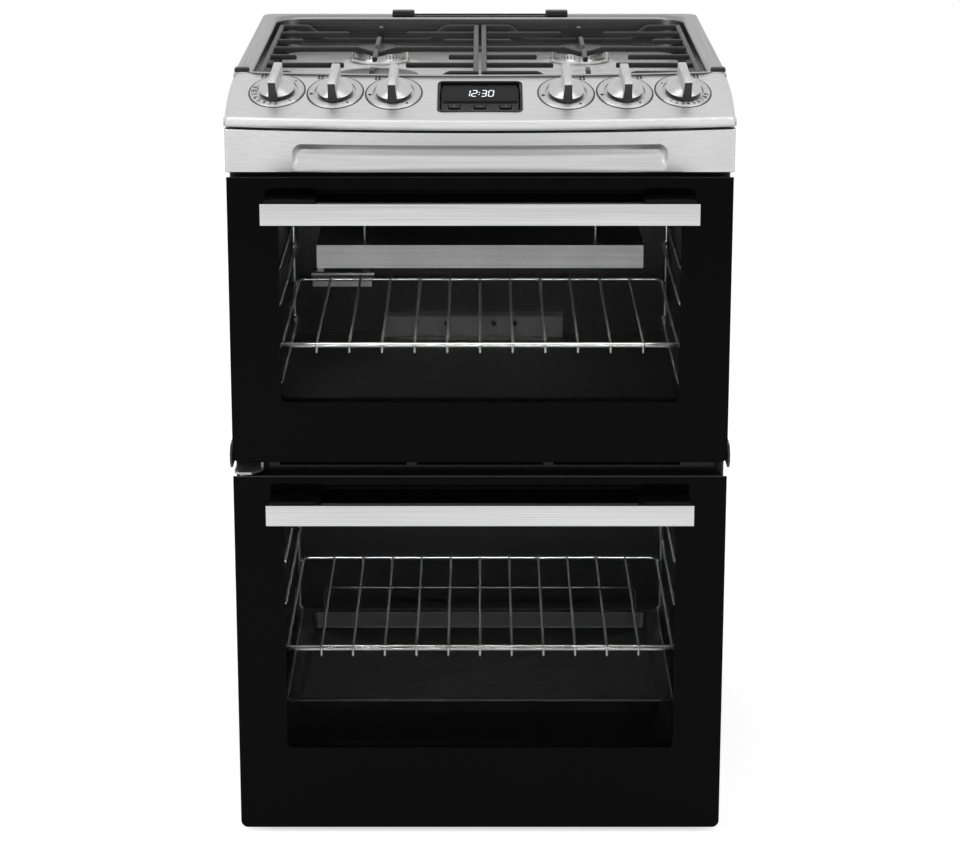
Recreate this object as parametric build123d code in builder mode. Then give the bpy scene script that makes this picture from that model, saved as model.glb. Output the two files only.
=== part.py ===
from build123d import *
import os
from math import asin, cos, radians, sin, sqrt, tan

# A freestanding gas cooker with two ovens. Millimetres, +X to the right, +Y to the back, +Z up.
# The origin is on the floor, under the middle of the whole cooker, handles included.

# Overall size
body_width = 596
rim_width = 587
rim_height = 942
cooker_depth = 595
handle_reach = 45
front = (handle_reach - cooker_depth) / 2
sheet = 2

# Doors
glass = 4
door_depth = 34
pan_half = 294
window_half = 238
upper_bottom = 482
upper_top = 830.5
lower_bottom = 7
lower_top = 464
upper_window = (557.5, 790)
lower_window = (114, 424)
handle_half = 256
handle_height = 25.5
handle_drop = 23
frame_face = 38

# Hinges: the upper door drops about a level line, the lower one swings about its left edge
pin_radius = 4
bore_radius = 4.05
upper_axis_depth = 12
upper_axis_height = 488
lower_axis_x = -286
lower_axis_depth = 13
cap_inner = 298.4
cap_outer = 301.2

# Casing
base_height = 22
side_outer = 297
side_top = 891
back_depth = 592

# Oven cavities, inside measures
cavity_half = 258
cavity_back = 470
upper_cavity_z = (528, 812)
lower_cavity_z = (96, 440)
mouth_half = 254

# Sloping control fascia, swept about an upright line far behind the cooker
bow = 28
panel_half = 299
slope = radians(25)
lip_bottom = 891
lip_height = 902
panel_run = 86
bow_radius = (panel_half**2 + bow**2) / (2 * bow)
bow_centre = front - bow + bow_radius

# Trim strip under the fascia
strip_bottom = 836.5
strip_top = 888
recess_half = 219.6
recess_low = 845
recess_high = 872

# Controls, placed along the slope from the fascia's lip
knob_across = (-239, -170, -101, 101, 170, 239)
knob_along = 56
knob_radius = 21.5
knob_lift = 3.6
knob_travel = 3
grip_height = 27
bezel_radius = 32.6
spindle_radius = 4
spindle_flats = 6.8
clock_along = 50.5
clock_size = (97, 61)
button_across = (-30, 0, 30)
button_along = 34

# Gas rail
gas_rail_y = front + 56
gas_rail_z = 866
rail_size = 16
inlet_radius = 10.48
inlet_x = 276

# Hob
basin_half = 272
basin_back = 573
basin_floor = 894
support_top = 936
bar_width = 6.5
bar_height = 8

# Shelves
shelf_half = 241
shelf_front = 60
shelf_back = 423
wire = 1.8
bar_wire = 2.3
wire_pitch = 39.6
upper_shelf_z = 611.5
lower_shelf_z = 221.5

os.makedirs("parts", exist_ok=True)


def save(builder, name):
    """Labels a finished piece and writes it."""
    builder.part.label = name
    export_step(builder.part, "parts/" + name + ".step")


def standing(depth):
    """An upright plane this far behind the door faces; its extrusions go forward."""
    return Plane.XZ.offset(-(front + depth))


def panel_plane(across, along):
    """A plane on the fascia's slope, with Z straight out of it and Y up the slope."""
    radius = bow_radius - along * cos(slope)
    turn = asin(across / radius)
    spot = Vector(across, bow_centre - radius * cos(turn), lip_height + along * sin(slope))
    out = Vector(sin(slope) * sin(turn), -sin(slope) * cos(turn), cos(slope))
    return Plane(origin=spot, x_dir=(cos(turn), sin(turn), 0), z_dir=out)


def cut_rectangle(width, height, cut, mode=Mode.ADD):
    """A rectangle with its corners cut off."""
    x, y = width / 2, height / 2
    right = [(x - cut, -y), (x, cut - y), (x, y - cut), (x - cut, y)]
    return Polygon(*right, *[(-u, -v) for u, v in right], mode=mode)


def arc_depth(run, x):
    """The y of a point on the bowed line that lies this far behind the fascia's lip."""
    return bow_centre - sqrt((bow_radius - run) ** 2 - x**2)


# Casing: side panels, back panel, base pan and levelling feet
with BuildPart() as side_panels:
    with BuildSketch(Plane.XY.offset(base_height)):
        with BuildLine():
            Polyline(
                (side_outer, front + 40),
                (side_outer, front + back_depth),
                (side_outer - sheet, front + back_depth),
                (side_outer - sheet, front + 40 + sheet),
                (side_outer - 22, front + 40 + sheet),
                (side_outer - 22, front + 40),
                close=True,
            )
        make_face()
    extrude(amount=side_top - base_height)
    with BuildSketch(Plane.XY.offset(side_top - sheet)):
        with Locations((side_outer - 7, front + 340)):
            Rectangle(14, 500)
    extrude(amount=sheet)
    mirror(about=Plane.YZ)
save(side_panels, "side_panels")

with BuildPart() as back_panel:
    with BuildSketch(standing(back_depth)):
        with Locations((0, (base_height + side_top) / 2)):
            Rectangle(2 * (side_outer - sheet), side_top - base_height)
        with Locations((0, 820)):
            with GridLocations(74, 16, 6, 2):
                Rectangle(60, 6, mode=Mode.SUBTRACT)
        with Locations((inlet_x, gas_rail_z)):
            RegularPolygon(17.4, 12, mode=Mode.SUBTRACT)
    extrude(amount=sheet)
save(back_panel, "back_panel")

foot_spots = [(sx * 255, front + d) for d in (80, 540) for sx in (-1, 1)]
with BuildPart() as base_pan:
    with BuildSketch(Plane.XY.offset(base_height)):
        with Locations((0, front + (42 + back_depth - sheet) / 2)):
            Rectangle(2 * (side_outer - sheet), back_depth - sheet - 42)
    extrude(amount=26)
    with BuildSketch(Plane.XY.offset(base_height + sheet)):
        with Locations((0, front + (42 + back_depth - sheet) / 2)):
            Rectangle(2 * (side_outer - 2 * sheet), back_depth - 3 * sheet - 42)
    extrude(amount=26, mode=Mode.SUBTRACT)
    with BuildSketch(Plane.XY.offset(base_height)):
        with Locations(*foot_spots):
            RegularPolygon(5.2, 6)
    extrude(amount=sheet, mode=Mode.SUBTRACT)
save(base_pan, "base_pan")

with BuildPart() as levelling_feet:
    with BuildSketch():
        with Locations(*foot_spots):
            RegularPolygon(21, 10)
    extrude(amount=7)
    with BuildSketch(Plane.XY.offset(7)):
        with Locations(*foot_spots):
            RegularPolygon(11, 6)
    extrude(amount=base_height - 7)
    with BuildSketch(Plane.XY.offset(base_height)):
        with Locations(*foot_spots):
            RegularPolygon(5, 6)
    extrude(amount=16)
save(levelling_feet, "levelling_feet")

# Front frame with the two oven mouths and the vented rail between the doors
rail_half = 270
rail_middle = 14
with BuildPart() as front_frame:
    with BuildSketch(standing(frame_face + sheet)):
        with Locations((0, (base_height + sheet + 860) / 2)):
            Rectangle(2 * (side_outer - sheet), 860 - base_height - sheet)
        for low, high in (upper_cavity_z, lower_cavity_z):
            with Locations((0, (low + high) / 2)):
                cut_rectangle(2 * mouth_half, high - low, 8, mode=Mode.SUBTRACT)
    extrude(amount=sheet)
    with BuildSketch(standing(frame_face)):
        with Locations((rail_middle, 474.5)):
            Rectangle(2 * rail_half, 11)
    extrude(amount=14)
    with BuildSketch(standing(frame_face)):
        with Locations((rail_middle, 474.5)):
            Rectangle(2 * rail_half - 4, 8)
    extrude(amount=12, mode=Mode.SUBTRACT)
    with BuildSketch(standing(26)):
        with Locations((0, 474.5)):
            with GridLocations(166, 0, 3, 1):
                Rectangle(154, 5)
    extrude(amount=2, mode=Mode.SUBTRACT)
save(front_frame, "front_frame")

# Hinge caps beside the upper door, each with its pin, on the front frame
with BuildPart() as upper_hinge_caps:
    with BuildSketch(Plane.YZ.offset(cap_inner)):
        with BuildLine():
            Polyline(
                (front + upper_axis_depth - 5, upper_axis_height + 14),
                (front + 46, upper_axis_height + 14),
                (front + 46, upper_axis_height - 14),
                (front + upper_axis_depth - 5, upper_axis_height - 14),
                (front - 2, upper_axis_height - 6),
                (front - 2, upper_axis_height + 6),
                close=True,
            )
        make_face()
    extrude(amount=cap_outer - cap_inner)
    with BuildSketch(Plane.YZ.offset(289)):
        with Locations((front + 34.75, upper_axis_height)):
            Rectangle(6.5, 26)
    extrude(amount=cap_inner - 289)
    with BuildSketch(Plane.YZ.offset(274)):
        with Locations((front + upper_axis_depth, upper_axis_height)):
            Circle(pin_radius)
    extrude(amount=cap_inner - 274)
    mirror(about=Plane.YZ)
save(upper_hinge_caps, "upper_hinge_caps")

# Hinge brackets of the lower door: a bright one above it and a hidden one below
with BuildPart() as lower_hinge_brackets:
    with BuildSketch(Plane.XY.offset(lower_top + 1.4)):
        with BuildLine():
            Polyline(
                (-297, front + 38),
                (-297, front + 10),
                (-290, front + 4),
                (-276, front + 4),
                (-263, front + 22),
                (-263, front + 38),
                close=True,
            )
        make_face()
    extrude(amount=2.8)
    with BuildSketch(Plane.XY.offset(lower_top + 4.2)):
        with Locations((-264.5, front + 32.5)):
            Rectangle(3, 11)
    extrude(amount=9)
    with BuildSketch(Plane.XY.offset(lower_top - 22)):
        with Locations((lower_axis_x, front + lower_axis_depth)):
            Circle(pin_radius)
    extrude(amount=23.4)
    with BuildSketch(Plane.XY.offset(lower_bottom + 9)):
        with BuildLine():
            Polyline(
                (-292, front + 38),
                (-292, front + 10),
                (-289.5, front + 5.5),
                (-262, front + 5.5),
                (-262, front + 38),
                close=True,
            )
        make_face()
    extrude(amount=3)
    with BuildSketch(Plane.XY.offset(lower_bottom + 12)):
        with Locations((lower_axis_x, front + lower_axis_depth)):
            Circle(pin_radius)
    extrude(amount=24)
save(lower_hinge_brackets, "lower_hinge_brackets")

# Oven cavities: rounded boxes open at the front, welded behind the frame
for oven, (low, high) in (("upper", upper_cavity_z), ("lower", lower_cavity_z)):
    with BuildPart() as cavity:
        with BuildSketch(standing(cavity_back + sheet)):
            with Locations((0, (low + high) / 2)):
                cut_rectangle(2 * (cavity_half + sheet), high - low + 2 * sheet, 9)
        extrude(amount=cavity_back + sheet - 40)
        with BuildSketch(standing(cavity_back)):
            with Locations((0, (low + high) / 2)):
                cut_rectangle(2 * cavity_half, high - low, 8)
        extrude(amount=cavity_back - 40, mode=Mode.SUBTRACT)
    save(cavity, oven + "_cavity")

# Door gaskets on the front frame, round each mouth
with BuildPart() as door_gaskets:
    with BuildSketch(standing(frame_face)):
        for low, high in (upper_cavity_z, lower_cavity_z):
            with Locations((0, (low + high) / 2)):
                cut_rectangle(2 * mouth_half + 24, high - low + 16, 12)
                cut_rectangle(2 * mouth_half + 6, high - low + 4, 7, mode=Mode.SUBTRACT)
    extrude(amount=frame_face - door_depth - 0.3)
save(door_gaskets, "door_gaskets")

# Shelf ladders: bent wire frames hooked to the cavity walls, with a rail for each level
rail_x = 243
upright_x = 247.6
rail_drop = 5.1
ladder_depth = (75, 425)
upper_levels = (560, upper_shelf_z - rail_drop, 660, 705)
lower_levels = (150, lower_shelf_z - rail_drop, 275, 330, 385)
with BuildPart() as shelf_ladders:
    for levels, low, high in ((upper_levels, 545, 790), (lower_levels, 122, 425)):
        with BuildSketch(standing(ladder_depth[1])):
            for level in levels:
                with Locations((rail_x, level)):
                    Rectangle(2 * bar_wire, 2 * bar_wire)
            with Locations((upright_x, low), (upright_x, high)):
                Rectangle(2 * bar_wire, 2 * bar_wire)
        extrude(amount=ladder_depth[1] - ladder_depth[0])
        with BuildSketch(Plane.XY.offset(low)):
            with Locations(*[(upright_x, front + d) for d in ladder_depth]):
                Rectangle(2 * bar_wire, 2 * bar_wire)
        extrude(amount=high - low)
        with BuildSketch(Plane.YZ.offset(upright_x)):
            with Locations(*[(front + d, z) for d, z in zip(ladder_depth, (low + 22, high - 22))]):
                Rectangle(2 * bar_wire, 2 * bar_wire)
        extrude(amount=cavity_half - upright_x)
    mirror(about=Plane.YZ)
save(shelf_ladders, "shelf_ladders")


# Wire shelves: a looped frame, a second front bar and eleven wires bent down at the front
for oven, height in (("upper", upper_shelf_z), ("lower", lower_shelf_z)):
    with BuildPart() as shelf:
        with BuildSketch(Plane.XY.offset(height - bar_wire)):
            with Locations((0, front + (shelf_front + shelf_back) / 2)):
                run = shelf_back - shelf_front
                cut_rectangle(2 * (shelf_half + bar_wire), run + 2 * bar_wire, 9)
                cut_rectangle(2 * (shelf_half - bar_wire), run - 2 * bar_wire, 7, mode=Mode.SUBTRACT)
            with Locations((0, front + shelf_front + 9)):
                Rectangle(2 * shelf_half, 2 * bar_wire)
        extrude(amount=2 * bar_wire)
        for number in range(-5, 6):
            with BuildSketch(Plane.YZ.offset(number * wire_pitch - wire)):
                with BuildLine():
                    Polyline(
                        (front + shelf_back, height + bar_wire),
                        (front + shelf_back, height + bar_wire + 2 * wire),
                        (front + shelf_front - 6, height + bar_wire + 2 * wire),
                        (front + shelf_front - 6, height - 7),
                        (front + shelf_front - 6 + 2 * wire, height - 7),
                        (front + shelf_front - 6 + 2 * wire, height + bar_wire),
                        close=True,
                    )
                make_face()
            extrude(amount=2 * wire)
    save(shelf, oven + "_shelf")

# Enamelled tray on the lowest rails, with a wire guard at the back
tray_rim = 155
with BuildPart() as enamel_tray:
    with BuildSketch(Plane.XY.offset(tray_rim - sheet)):
        with Locations((0, front + 230)):
            cut_rectangle(488, 348, 8)
    extrude(amount=sheet)
    with BuildSketch(Plane.XY.offset(tray_rim - sheet)):
        with Locations((0, front + 230)):
            cut_rectangle(462, 322, 14)
    extrude(amount=-22, taper=10)
    with BuildSketch(Plane.XY.offset(tray_rim)):
        with Locations((0, front + 230)):
            cut_rectangle(458, 318, 13)
    extrude(amount=-22, taper=10, mode=Mode.SUBTRACT)
    with BuildSketch(standing(400 + wire)):
        with Locations((0, (tray_rim - 1 + 188) / 2)):
            Rectangle(428, 188 - tray_rim + 1)
        with Locations((0, (tray_rim - 2 + 184) / 2)):
            Rectangle(420, 184 - tray_rim + 2, mode=Mode.SUBTRACT)
    extrude(amount=2 * wire)
save(enamel_tray, "enamel_tray")

# Grill: a hanging shield with a deep front flange, and the burner under it
shield_half = 196.5
shield_low = 708
shield_top = 736
with BuildPart() as grill_shield:
    with BuildSketch(Plane.XY.offset(shield_low)):
        with Locations((0, front + 231)):
            Rectangle(2 * shield_half, 338)
    extrude(amount=shield_top - shield_low)
    with BuildSketch(Plane.XY.offset(shield_low)):
        with Locations((0, front + 231)):
            Rectangle(2 * shield_half - 3, 335)
    extrude(amount=shield_top - shield_low - 1.5, mode=Mode.SUBTRACT)
    with BuildSketch(Plane.XY.offset(shield_top)):
        with Locations((0, front + 231)):
            with GridLocations(280, 250, 2, 2):
                Rectangle(2, 18)
    extrude(amount=upper_cavity_z[1] - shield_top)
    with BuildSketch(Plane.XY.offset(shield_low)):
        with Locations((0, front + 231)):
            Rectangle(2 * shield_half + 2, 326)
    extrude(amount=10, mode=Mode.SUBTRACT)
    with BuildSketch(standing(402)):
        with Locations((0, shield_low + 12)):
            Rectangle(20, 30)
    extrude(amount=4, mode=Mode.SUBTRACT)
save(grill_shield, "grill_shield")

with BuildPart() as grill_burner:
    with BuildSketch(Plane.XY.offset(shield_top - 1.5)):
        with Locations((0, front + 230)):
            cut_rectangle(300, 230, 12)
    extrude(amount=-16)
    with BuildSketch(Plane.XY.offset(shield_top - 17.5)):
        with Locations((0, front + 230)):
            with GridLocations(0, 24, 1, 8):
                Rectangle(250, 5)
    extrude(amount=3, mode=Mode.SUBTRACT)
    with BuildSketch(standing(cavity_back)):
        with Locations((0, shield_top - 9.5)):
            RegularPolygon(6, 8)
    extrude(amount=cavity_back - 340)
save(grill_burner, "grill_burner")

# Oven burners: a box with three ports against the back wall of each oven
with BuildPart() as oven_burners:
    for floor in (upper_cavity_z[0], lower_cavity_z[0]):
        with BuildSketch(standing(cavity_back)):
            with Locations((-9, floor + 14)):
                Rectangle(240, 28)
        extrude(amount=28)
        with BuildSketch(standing(cavity_back)):
            with Locations((-9, floor + 13)):
                Rectangle(236, 26)
        extrude(amount=26, mode=Mode.SUBTRACT)
        with BuildSketch(standing(cavity_back - 20)):
            with Locations(*[(x, floor + 18) for x in (-45, 18.5, 46.7)]):
                RegularPolygon(4.2, 6)
        extrude(amount=10, mode=Mode.SUBTRACT)
        with BuildSketch(Plane.XY.offset(floor)):
            with Locations((-9, front + cavity_back - 36)):
                Rectangle(200, 18)
        extrude(amount=1.5)
        with BuildSketch(Plane.XY.offset(floor)):
            with Locations((-69, front + cavity_back - 37), (18.5, front + cavity_back - 37)):
                RegularPolygon(8, 6)
        extrude(amount=4)
save(oven_burners, "oven_burners")

# Sensor bracket at the back of the upper oven, with the thermostat's bulb across it
with BuildPart() as sensor_bracket:
    with BuildSketch(standing(cavity_back)):
        with Locations((-218, 605), (-152, 605)):
            Rectangle(12, 16)
    extrude(amount=12)
    with BuildSketch(standing(cavity_back - 12)):
        with Locations((-185, 604)):
            Rectangle(79, 20)
        with Locations((-214, 620)):
            Rectangle(8, 14)
    extrude(amount=1.5)
    with BuildSketch(Plane.YZ.offset(-226)):
        with Locations((front + cavity_back - 16.5, 611)):
            RegularPolygon(3.5, 8)
    extrude(amount=84)
save(sensor_bracket, "sensor_bracket")

# The two doors: outer glass, pressed pan, inner glass, handle bar and its two posts
posts_from = 190
for door, bottom, top, window in (
    ("upper", upper_bottom, upper_top, upper_window),
    ("lower", lower_bottom, lower_top, lower_window),
):
    pan_low = bottom if door == "upper" else bottom + 17
    pan_high = top - 4
    pan_middle = (pan_low + pan_high) / 2
    window_middle = (window[0] + window[1]) / 2
    bar_low = (top - handle_drop) - handle_height

    with BuildPart() as door_glass:
        with BuildSketch(standing(glass)):
            with Locations((0, (bottom + top) / 2)):
                Rectangle(body_width, top - bottom)
            fillet(vertices().group_by(Axis.Y)[0], 9)
        extrude(amount=glass)
        chamfer(door_glass.faces().sort_by(Axis.Y)[0].edges(), 0.8)
    save(door_glass, door + "_door_glass")

    with BuildPart() as door_pan:
        with BuildSketch(standing(door_depth - glass)):
            with Locations((0, pan_middle)):
                Rectangle(2 * pan_half, pan_high - pan_low)
        extrude(amount=door_depth - 2 * glass)
        with BuildSketch(standing(door_depth - glass - 1.5)):
            with Locations((0, pan_middle)):
                Rectangle(2 * pan_half - 3, pan_high - pan_low - 3)
        extrude(amount=door_depth, mode=Mode.SUBTRACT)
        with BuildSketch(standing(door_depth - glass)):
            with Locations((0, window_middle)):
                cut_rectangle(2 * window_half + 4, window[1] - window[0] + 4, 4)
        extrude(amount=glass, mode=Mode.SUBTRACT)
        if door == "upper":
            for side in (-1, 1):
                with BuildSketch(Plane.YZ.offset(side * 272)):
                    with Locations((front + upper_axis_depth, upper_axis_height)):
                        Rectangle(12, 12)
                extrude(amount=side * (pan_half - 272))
                with BuildSketch(Plane.YZ.offset(side * 272)):
                    with Locations((front + upper_axis_depth, upper_axis_height)):
                        Circle(bore_radius)
                extrude(amount=side * (pan_half - 272), mode=Mode.SUBTRACT)
        else:
            for start in (pan_low, pan_high - 22):
                with BuildSketch(Plane.XY.offset(start)):
                    with Locations((lower_axis_x, front + lower_axis_depth)):
                        Rectangle(16, 16)
                extrude(amount=22)
                with BuildSketch(Plane.XY.offset(start)):
                    with Locations((lower_axis_x, front + lower_axis_depth)):
                        Circle(bore_radius)
                extrude(amount=22, mode=Mode.SUBTRACT)
    save(door_pan, door + "_door_pan")

    with BuildPart() as inner_glass:
        with BuildSketch(standing(door_depth)):
            with Locations((0, window_middle)):
                cut_rectangle(2 * window_half + 48, window[1] - window[0] + 40, 4)
        extrude(amount=glass)
    save(inner_glass, door + "_inner_glass")

    with BuildPart() as handle_bar:
        with BuildSketch(standing(-29)):
            with Locations((0, bar_low + handle_height / 2)):
                Rectangle(2 * posts_from - 4, handle_height)
        extrude(amount=12)
        with BuildSketch(standing(-29)):
            with Locations((0, bar_low + handle_height / 2)):
                Rectangle(2 * posts_from, handle_height - 4)
        extrude(amount=12, mode=Mode.SUBTRACT)
        with BuildSketch(standing(-41)):
            with Locations((0, bar_low + handle_height / 2)):
                Rectangle(2 * handle_half, handle_height)
        extrude(amount=4)
        chamfer(handle_bar.faces().sort_by(Axis.Y)[0].edges(), 0.8)
    save(handle_bar, door + "_handle_bar")

    with BuildPart() as handle_posts:
        with BuildSketch(Plane.XY.offset(bar_low + 2)):
            with BuildLine():
                Polyline(
                    (posts_from, front),
                    (handle_half - 3, front),
                    (handle_half - 2, front - 41),
                    (posts_from + 7, front - 41),
                    (posts_from, front - 33),
                    close=True,
                )
            make_face()
        extrude(amount=handle_height + 2)
        chamfer(handle_posts.faces().sort_by(Axis.Z)[-1].edges().sort_by(Axis.Y)[:1], 3)
        mirror(about=Plane.YZ)
    save(handle_posts, door + "_handle_posts")


# Control fascia: a bowed and sloping sheet with closed ends, pierced for the knobs and the clock
def fascia_block(inset):
    """The wedge under the slope, drawn in by the inset on every side but the open bottom."""
    lip_y = front - bow + inset
    rear_y = front - bow + panel_run - inset
    rise = inset / cos(slope) - inset * tan(slope)
    with BuildPart() as block:
        with BuildSketch(Plane.YZ):
            with BuildLine():
                Polyline(
                    (lip_y, lip_bottom - inset),
                    (lip_y, lip_height - rise),
                    (rear_y, lip_height - rise + (rear_y - lip_y) * tan(slope)),
                    (rear_y, lip_bottom - inset),
                    close=True,
                )
            make_face()
            chamfer(vertices().group_by(Axis.X)[0].sort_by(Axis.Y)[-1:], 5 - inset)
        revolve(axis=Axis((0, bow_centre, 0), (0, 0, 1)), revolution_arc=360)
        half = panel_half - inset
        with BuildSketch(Plane.XY.offset(lip_bottom - inset)):
            with BuildLine():
                Polyline((-half, front + 8), (-half, front - 60), (half, front - 60), (half, front + 8))
                ThreePointArc((half, front + 8), (half - 1.5, front + 52), (half - 7, front + 90))
                Line((half - 7, front + 90), (-half + 7, front + 90))
                ThreePointArc((-half + 7, front + 90), (-half + 1.5, front + 52), (-half, front + 8))
            make_face()
        extrude(amount=80, mode=Mode.INTERSECT)
    return block.part


knob_planes = [panel_plane(x, knob_along) for x in knob_across]
clock_plane = panel_plane(0, clock_along)
with BuildPart() as control_fascia:
    add(fascia_block(0))
    add(fascia_block(sheet), mode=Mode.SUBTRACT)
    for plane in knob_planes:
        with BuildSketch(plane.offset(-8)):
            RegularPolygon(7, 8)
        extrude(amount=16, mode=Mode.SUBTRACT)
    with BuildSketch(clock_plane.offset(-12)):
        cut_rectangle(clock_size[0] + 1, clock_size[1] + 1, 4)
    extrude(amount=24, mode=Mode.SUBTRACT)
save(control_fascia, "control_fascia")


# Trim strip: straight along the doors' top, bowed out to the fascia's lip, with a pressed recess
def strip_block(low, high, back_low, back_high, half, rear):
    """A block whose bowed front lies behind the strip's face by back_low and back_high."""
    with BuildPart() as block:
        for z, back in ((low, back_low), (high, back_high)):
            sag = max(bow * (z - strip_bottom) / (strip_top - strip_bottom), 0.5)
            edge = front + back - sag * (1 - (half / panel_half) ** 2)
            with BuildSketch(Plane.XY.offset(z)):
                with BuildLine():
                    ThreePointArc((-half, edge), (0, front + back - sag), (half, edge))
                    Polyline((half, edge), (half, rear), (-half, rear), (-half, edge))
                make_face()
        loft(ruled=True)
    return block.part


strip_rear = front + frame_face
with BuildPart() as recess:
    add(strip_block(recess_low, recess_high, 0.4, 7, recess_half, front - 60))
    with BuildSketch(standing(60)):
        with Locations((0, (recess_low + recess_high) / 2)):
            Rectangle(2 * recess_half, recess_high - recess_low)
        chamfer(vertices().group_by(Axis.Y)[-1], 7)
    extrude(amount=200, mode=Mode.INTERSECT)
with BuildPart() as recess_pan:
    add(strip_block(recess_low - 2, recess_high + 2, 1, 1, recess_half + 2, strip_rear - 2))
    add(
        strip_block(recess_low - 3, recess_high + 3, 2, 9.7, recess_half + 6, strip_rear + 10),
        mode=Mode.SUBTRACT,
    )
with BuildPart() as trim_strip:
    add(strip_block(strip_bottom, strip_top, 0, 0, panel_half, strip_rear))
    add(
        strip_block(strip_bottom, strip_top, sheet, sheet, panel_half - sheet, strip_rear + 2),
        mode=Mode.SUBTRACT,
    )
    add(recess_pan.part)
    add(recess.part, mode=Mode.SUBTRACT)
save(trim_strip, "trim_strip")

# Clock: a recessed housing with three button openings, a lens, and the buttons
button_size = (13, 6)
button_travel = 0.8
floor_drop = 3.5
button_spots = [(x, button_along - clock_along) for x in button_across]
with BuildPart() as clock_housing:
    with BuildSketch(clock_plane.offset(-20)):
        cut_rectangle(clock_size[0], clock_size[1], 4)
    extrude(amount=20)
    with BuildSketch(clock_plane):
        cut_rectangle(clock_size[0] + 2.4, clock_size[1] + 2.4, 5)
    extrude(amount=0.8)
    with BuildSketch(clock_plane.offset(-floor_drop)):
        cut_rectangle(clock_size[0] - 3, clock_size[1] - 3, 3)
    extrude(amount=10, mode=Mode.SUBTRACT)
    with BuildSketch(clock_plane.offset(-18)):
        cut_rectangle(clock_size[0] - 3, clock_size[1] - 3, 3)
    extrude(amount=12, mode=Mode.SUBTRACT)
    with BuildSketch(clock_plane.offset(-8)):
        with Locations(*button_spots):
            Rectangle(button_size[0] + 0.6, button_size[1] + 0.6)
    extrude(amount=6, mode=Mode.SUBTRACT)
save(clock_housing, "clock_housing")

with BuildPart() as clock_lens:
    with BuildSketch(clock_plane.offset(-floor_drop)):
        with Locations((0, 9)):
            Rectangle(88, 33)
    extrude(amount=2)
    chamfer(clock_lens.faces().sort_by(Axis.Z)[-1].edges(), 0.6)
save(clock_lens, "clock_lens")

for number, spot in enumerate(button_spots, start=1):
    with BuildPart() as clock_button:
        with BuildSketch(clock_plane.offset(-7)):
            with Locations(spot):
                Rectangle(button_size[0], button_size[1])
        extrude(amount=7 - floor_drop + 1.2)
        with BuildSketch(clock_plane.offset(-8)):
            with Locations(spot):
                Rectangle(button_size[0] + 3, button_size[1] + 3)
        extrude(amount=1.7)
    save(clock_button, "clock_button_" + str(number))

# Knobs: a bezel on the fascia, a round spindle with four flats, and a disc with a raised grip
tap_top = -10
tap_end = -44
spindle_top = 16
with BuildPart() as bezel:
    with BuildSketch():
        RegularPolygon(bezel_radius, 16)
    extrude(amount=2.2, taper=40)
    with BuildSketch():
        RegularPolygon(knob_radius + 2.2, 16)
    extrude(amount=3, mode=Mode.SUBTRACT)
with BuildPart() as knob_bezels:
    with Locations(*knob_planes):
        add(bezel.part)
save(knob_bezels, "knob_bezels")

with BuildPart() as spindle:
    with BuildSketch(Plane.XY.offset(tap_end + 12)):
        Circle(spindle_radius)
        Rectangle(spindle_flats, spindle_flats, mode=Mode.INTERSECT)
    extrude(amount=spindle_top - tap_end - 12)

with BuildPart() as knob_shape:
    with BuildSketch(Plane.XY.offset(knob_lift)):
        RegularPolygon(knob_radius, 16)
    extrude(amount=9)
    with BuildSketch(Plane.XZ):
        with BuildLine():
            Polyline(
                (-knob_radius - 1, knob_lift),
                (knob_radius + 1, knob_lift),
                (knob_radius + 1, knob_lift + 2.6),
                (5, knob_lift + 8.6),
                (-5, knob_lift + 8.6),
                (-knob_radius - 1, knob_lift + 2.6),
                close=True,
            )
        make_face()
    extrude(amount=knob_radius + 1, both=True, mode=Mode.INTERSECT)
    with BuildSketch(Plane.YZ):
        with BuildLine():
            Polyline(
                (-knob_radius - 0.8, knob_lift),
                (-knob_radius + 0.8, grip_height),
                (knob_radius, grip_height),
                (knob_radius - 1, knob_lift + 2),
                (-knob_radius + 4, knob_lift + 2),
                close=True,
            )
        make_face()
    extrude(amount=5, both=True)
    with BuildSketch(Plane.XY.offset(knob_lift)):
        Rectangle(spindle_flats + 0.1, spindle_flats + 0.1)
    extrude(amount=spindle_top, mode=Mode.SUBTRACT)

for number, plane in enumerate(knob_planes, start=1):
    with BuildPart() as tap_spindle:
        with Locations(plane):
            add(spindle.part)
    save(tap_spindle, "tap_spindle_" + str(number))
    with BuildPart() as knob:
        with Locations(plane):
            add(knob_shape.part)
    save(knob, "knob_" + str(number))

# Gas taps clamped on the gas rail, which runs behind the trim strip and out at the back
with BuildPart() as gas_rail:
    with BuildSketch(Plane.XY.offset(gas_rail_z - rail_size / 2)):
        with BuildLine():
            Polyline(
                (-256, gas_rail_y - rail_size / 2),
                (inlet_x + rail_size / 2, gas_rail_y - rail_size / 2),
                (inlet_x + rail_size / 2, front + 570),
                (inlet_x - rail_size / 2, front + 570),
                (inlet_x - rail_size / 2, gas_rail_y + rail_size / 2),
                (-256, gas_rail_y + rail_size / 2),
                close=True,
            )
        make_face()
    extrude(amount=rail_size)
    with BuildSketch(standing(571)):
        with Locations((inlet_x, gas_rail_z)):
            RegularPolygon(15, 6)
    extrude(amount=11)
    with BuildSketch(standing(cooker_depth)):
        with Locations((inlet_x, gas_rail_z)):
            Circle(inlet_radius)
    extrude(amount=24)
    with BuildSketch(standing(cooker_depth)):
        with Locations((inlet_x, gas_rail_z)):
            RegularPolygon(7, 8)
    extrude(amount=30, mode=Mode.SUBTRACT)
save(gas_rail, "gas_rail")

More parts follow.
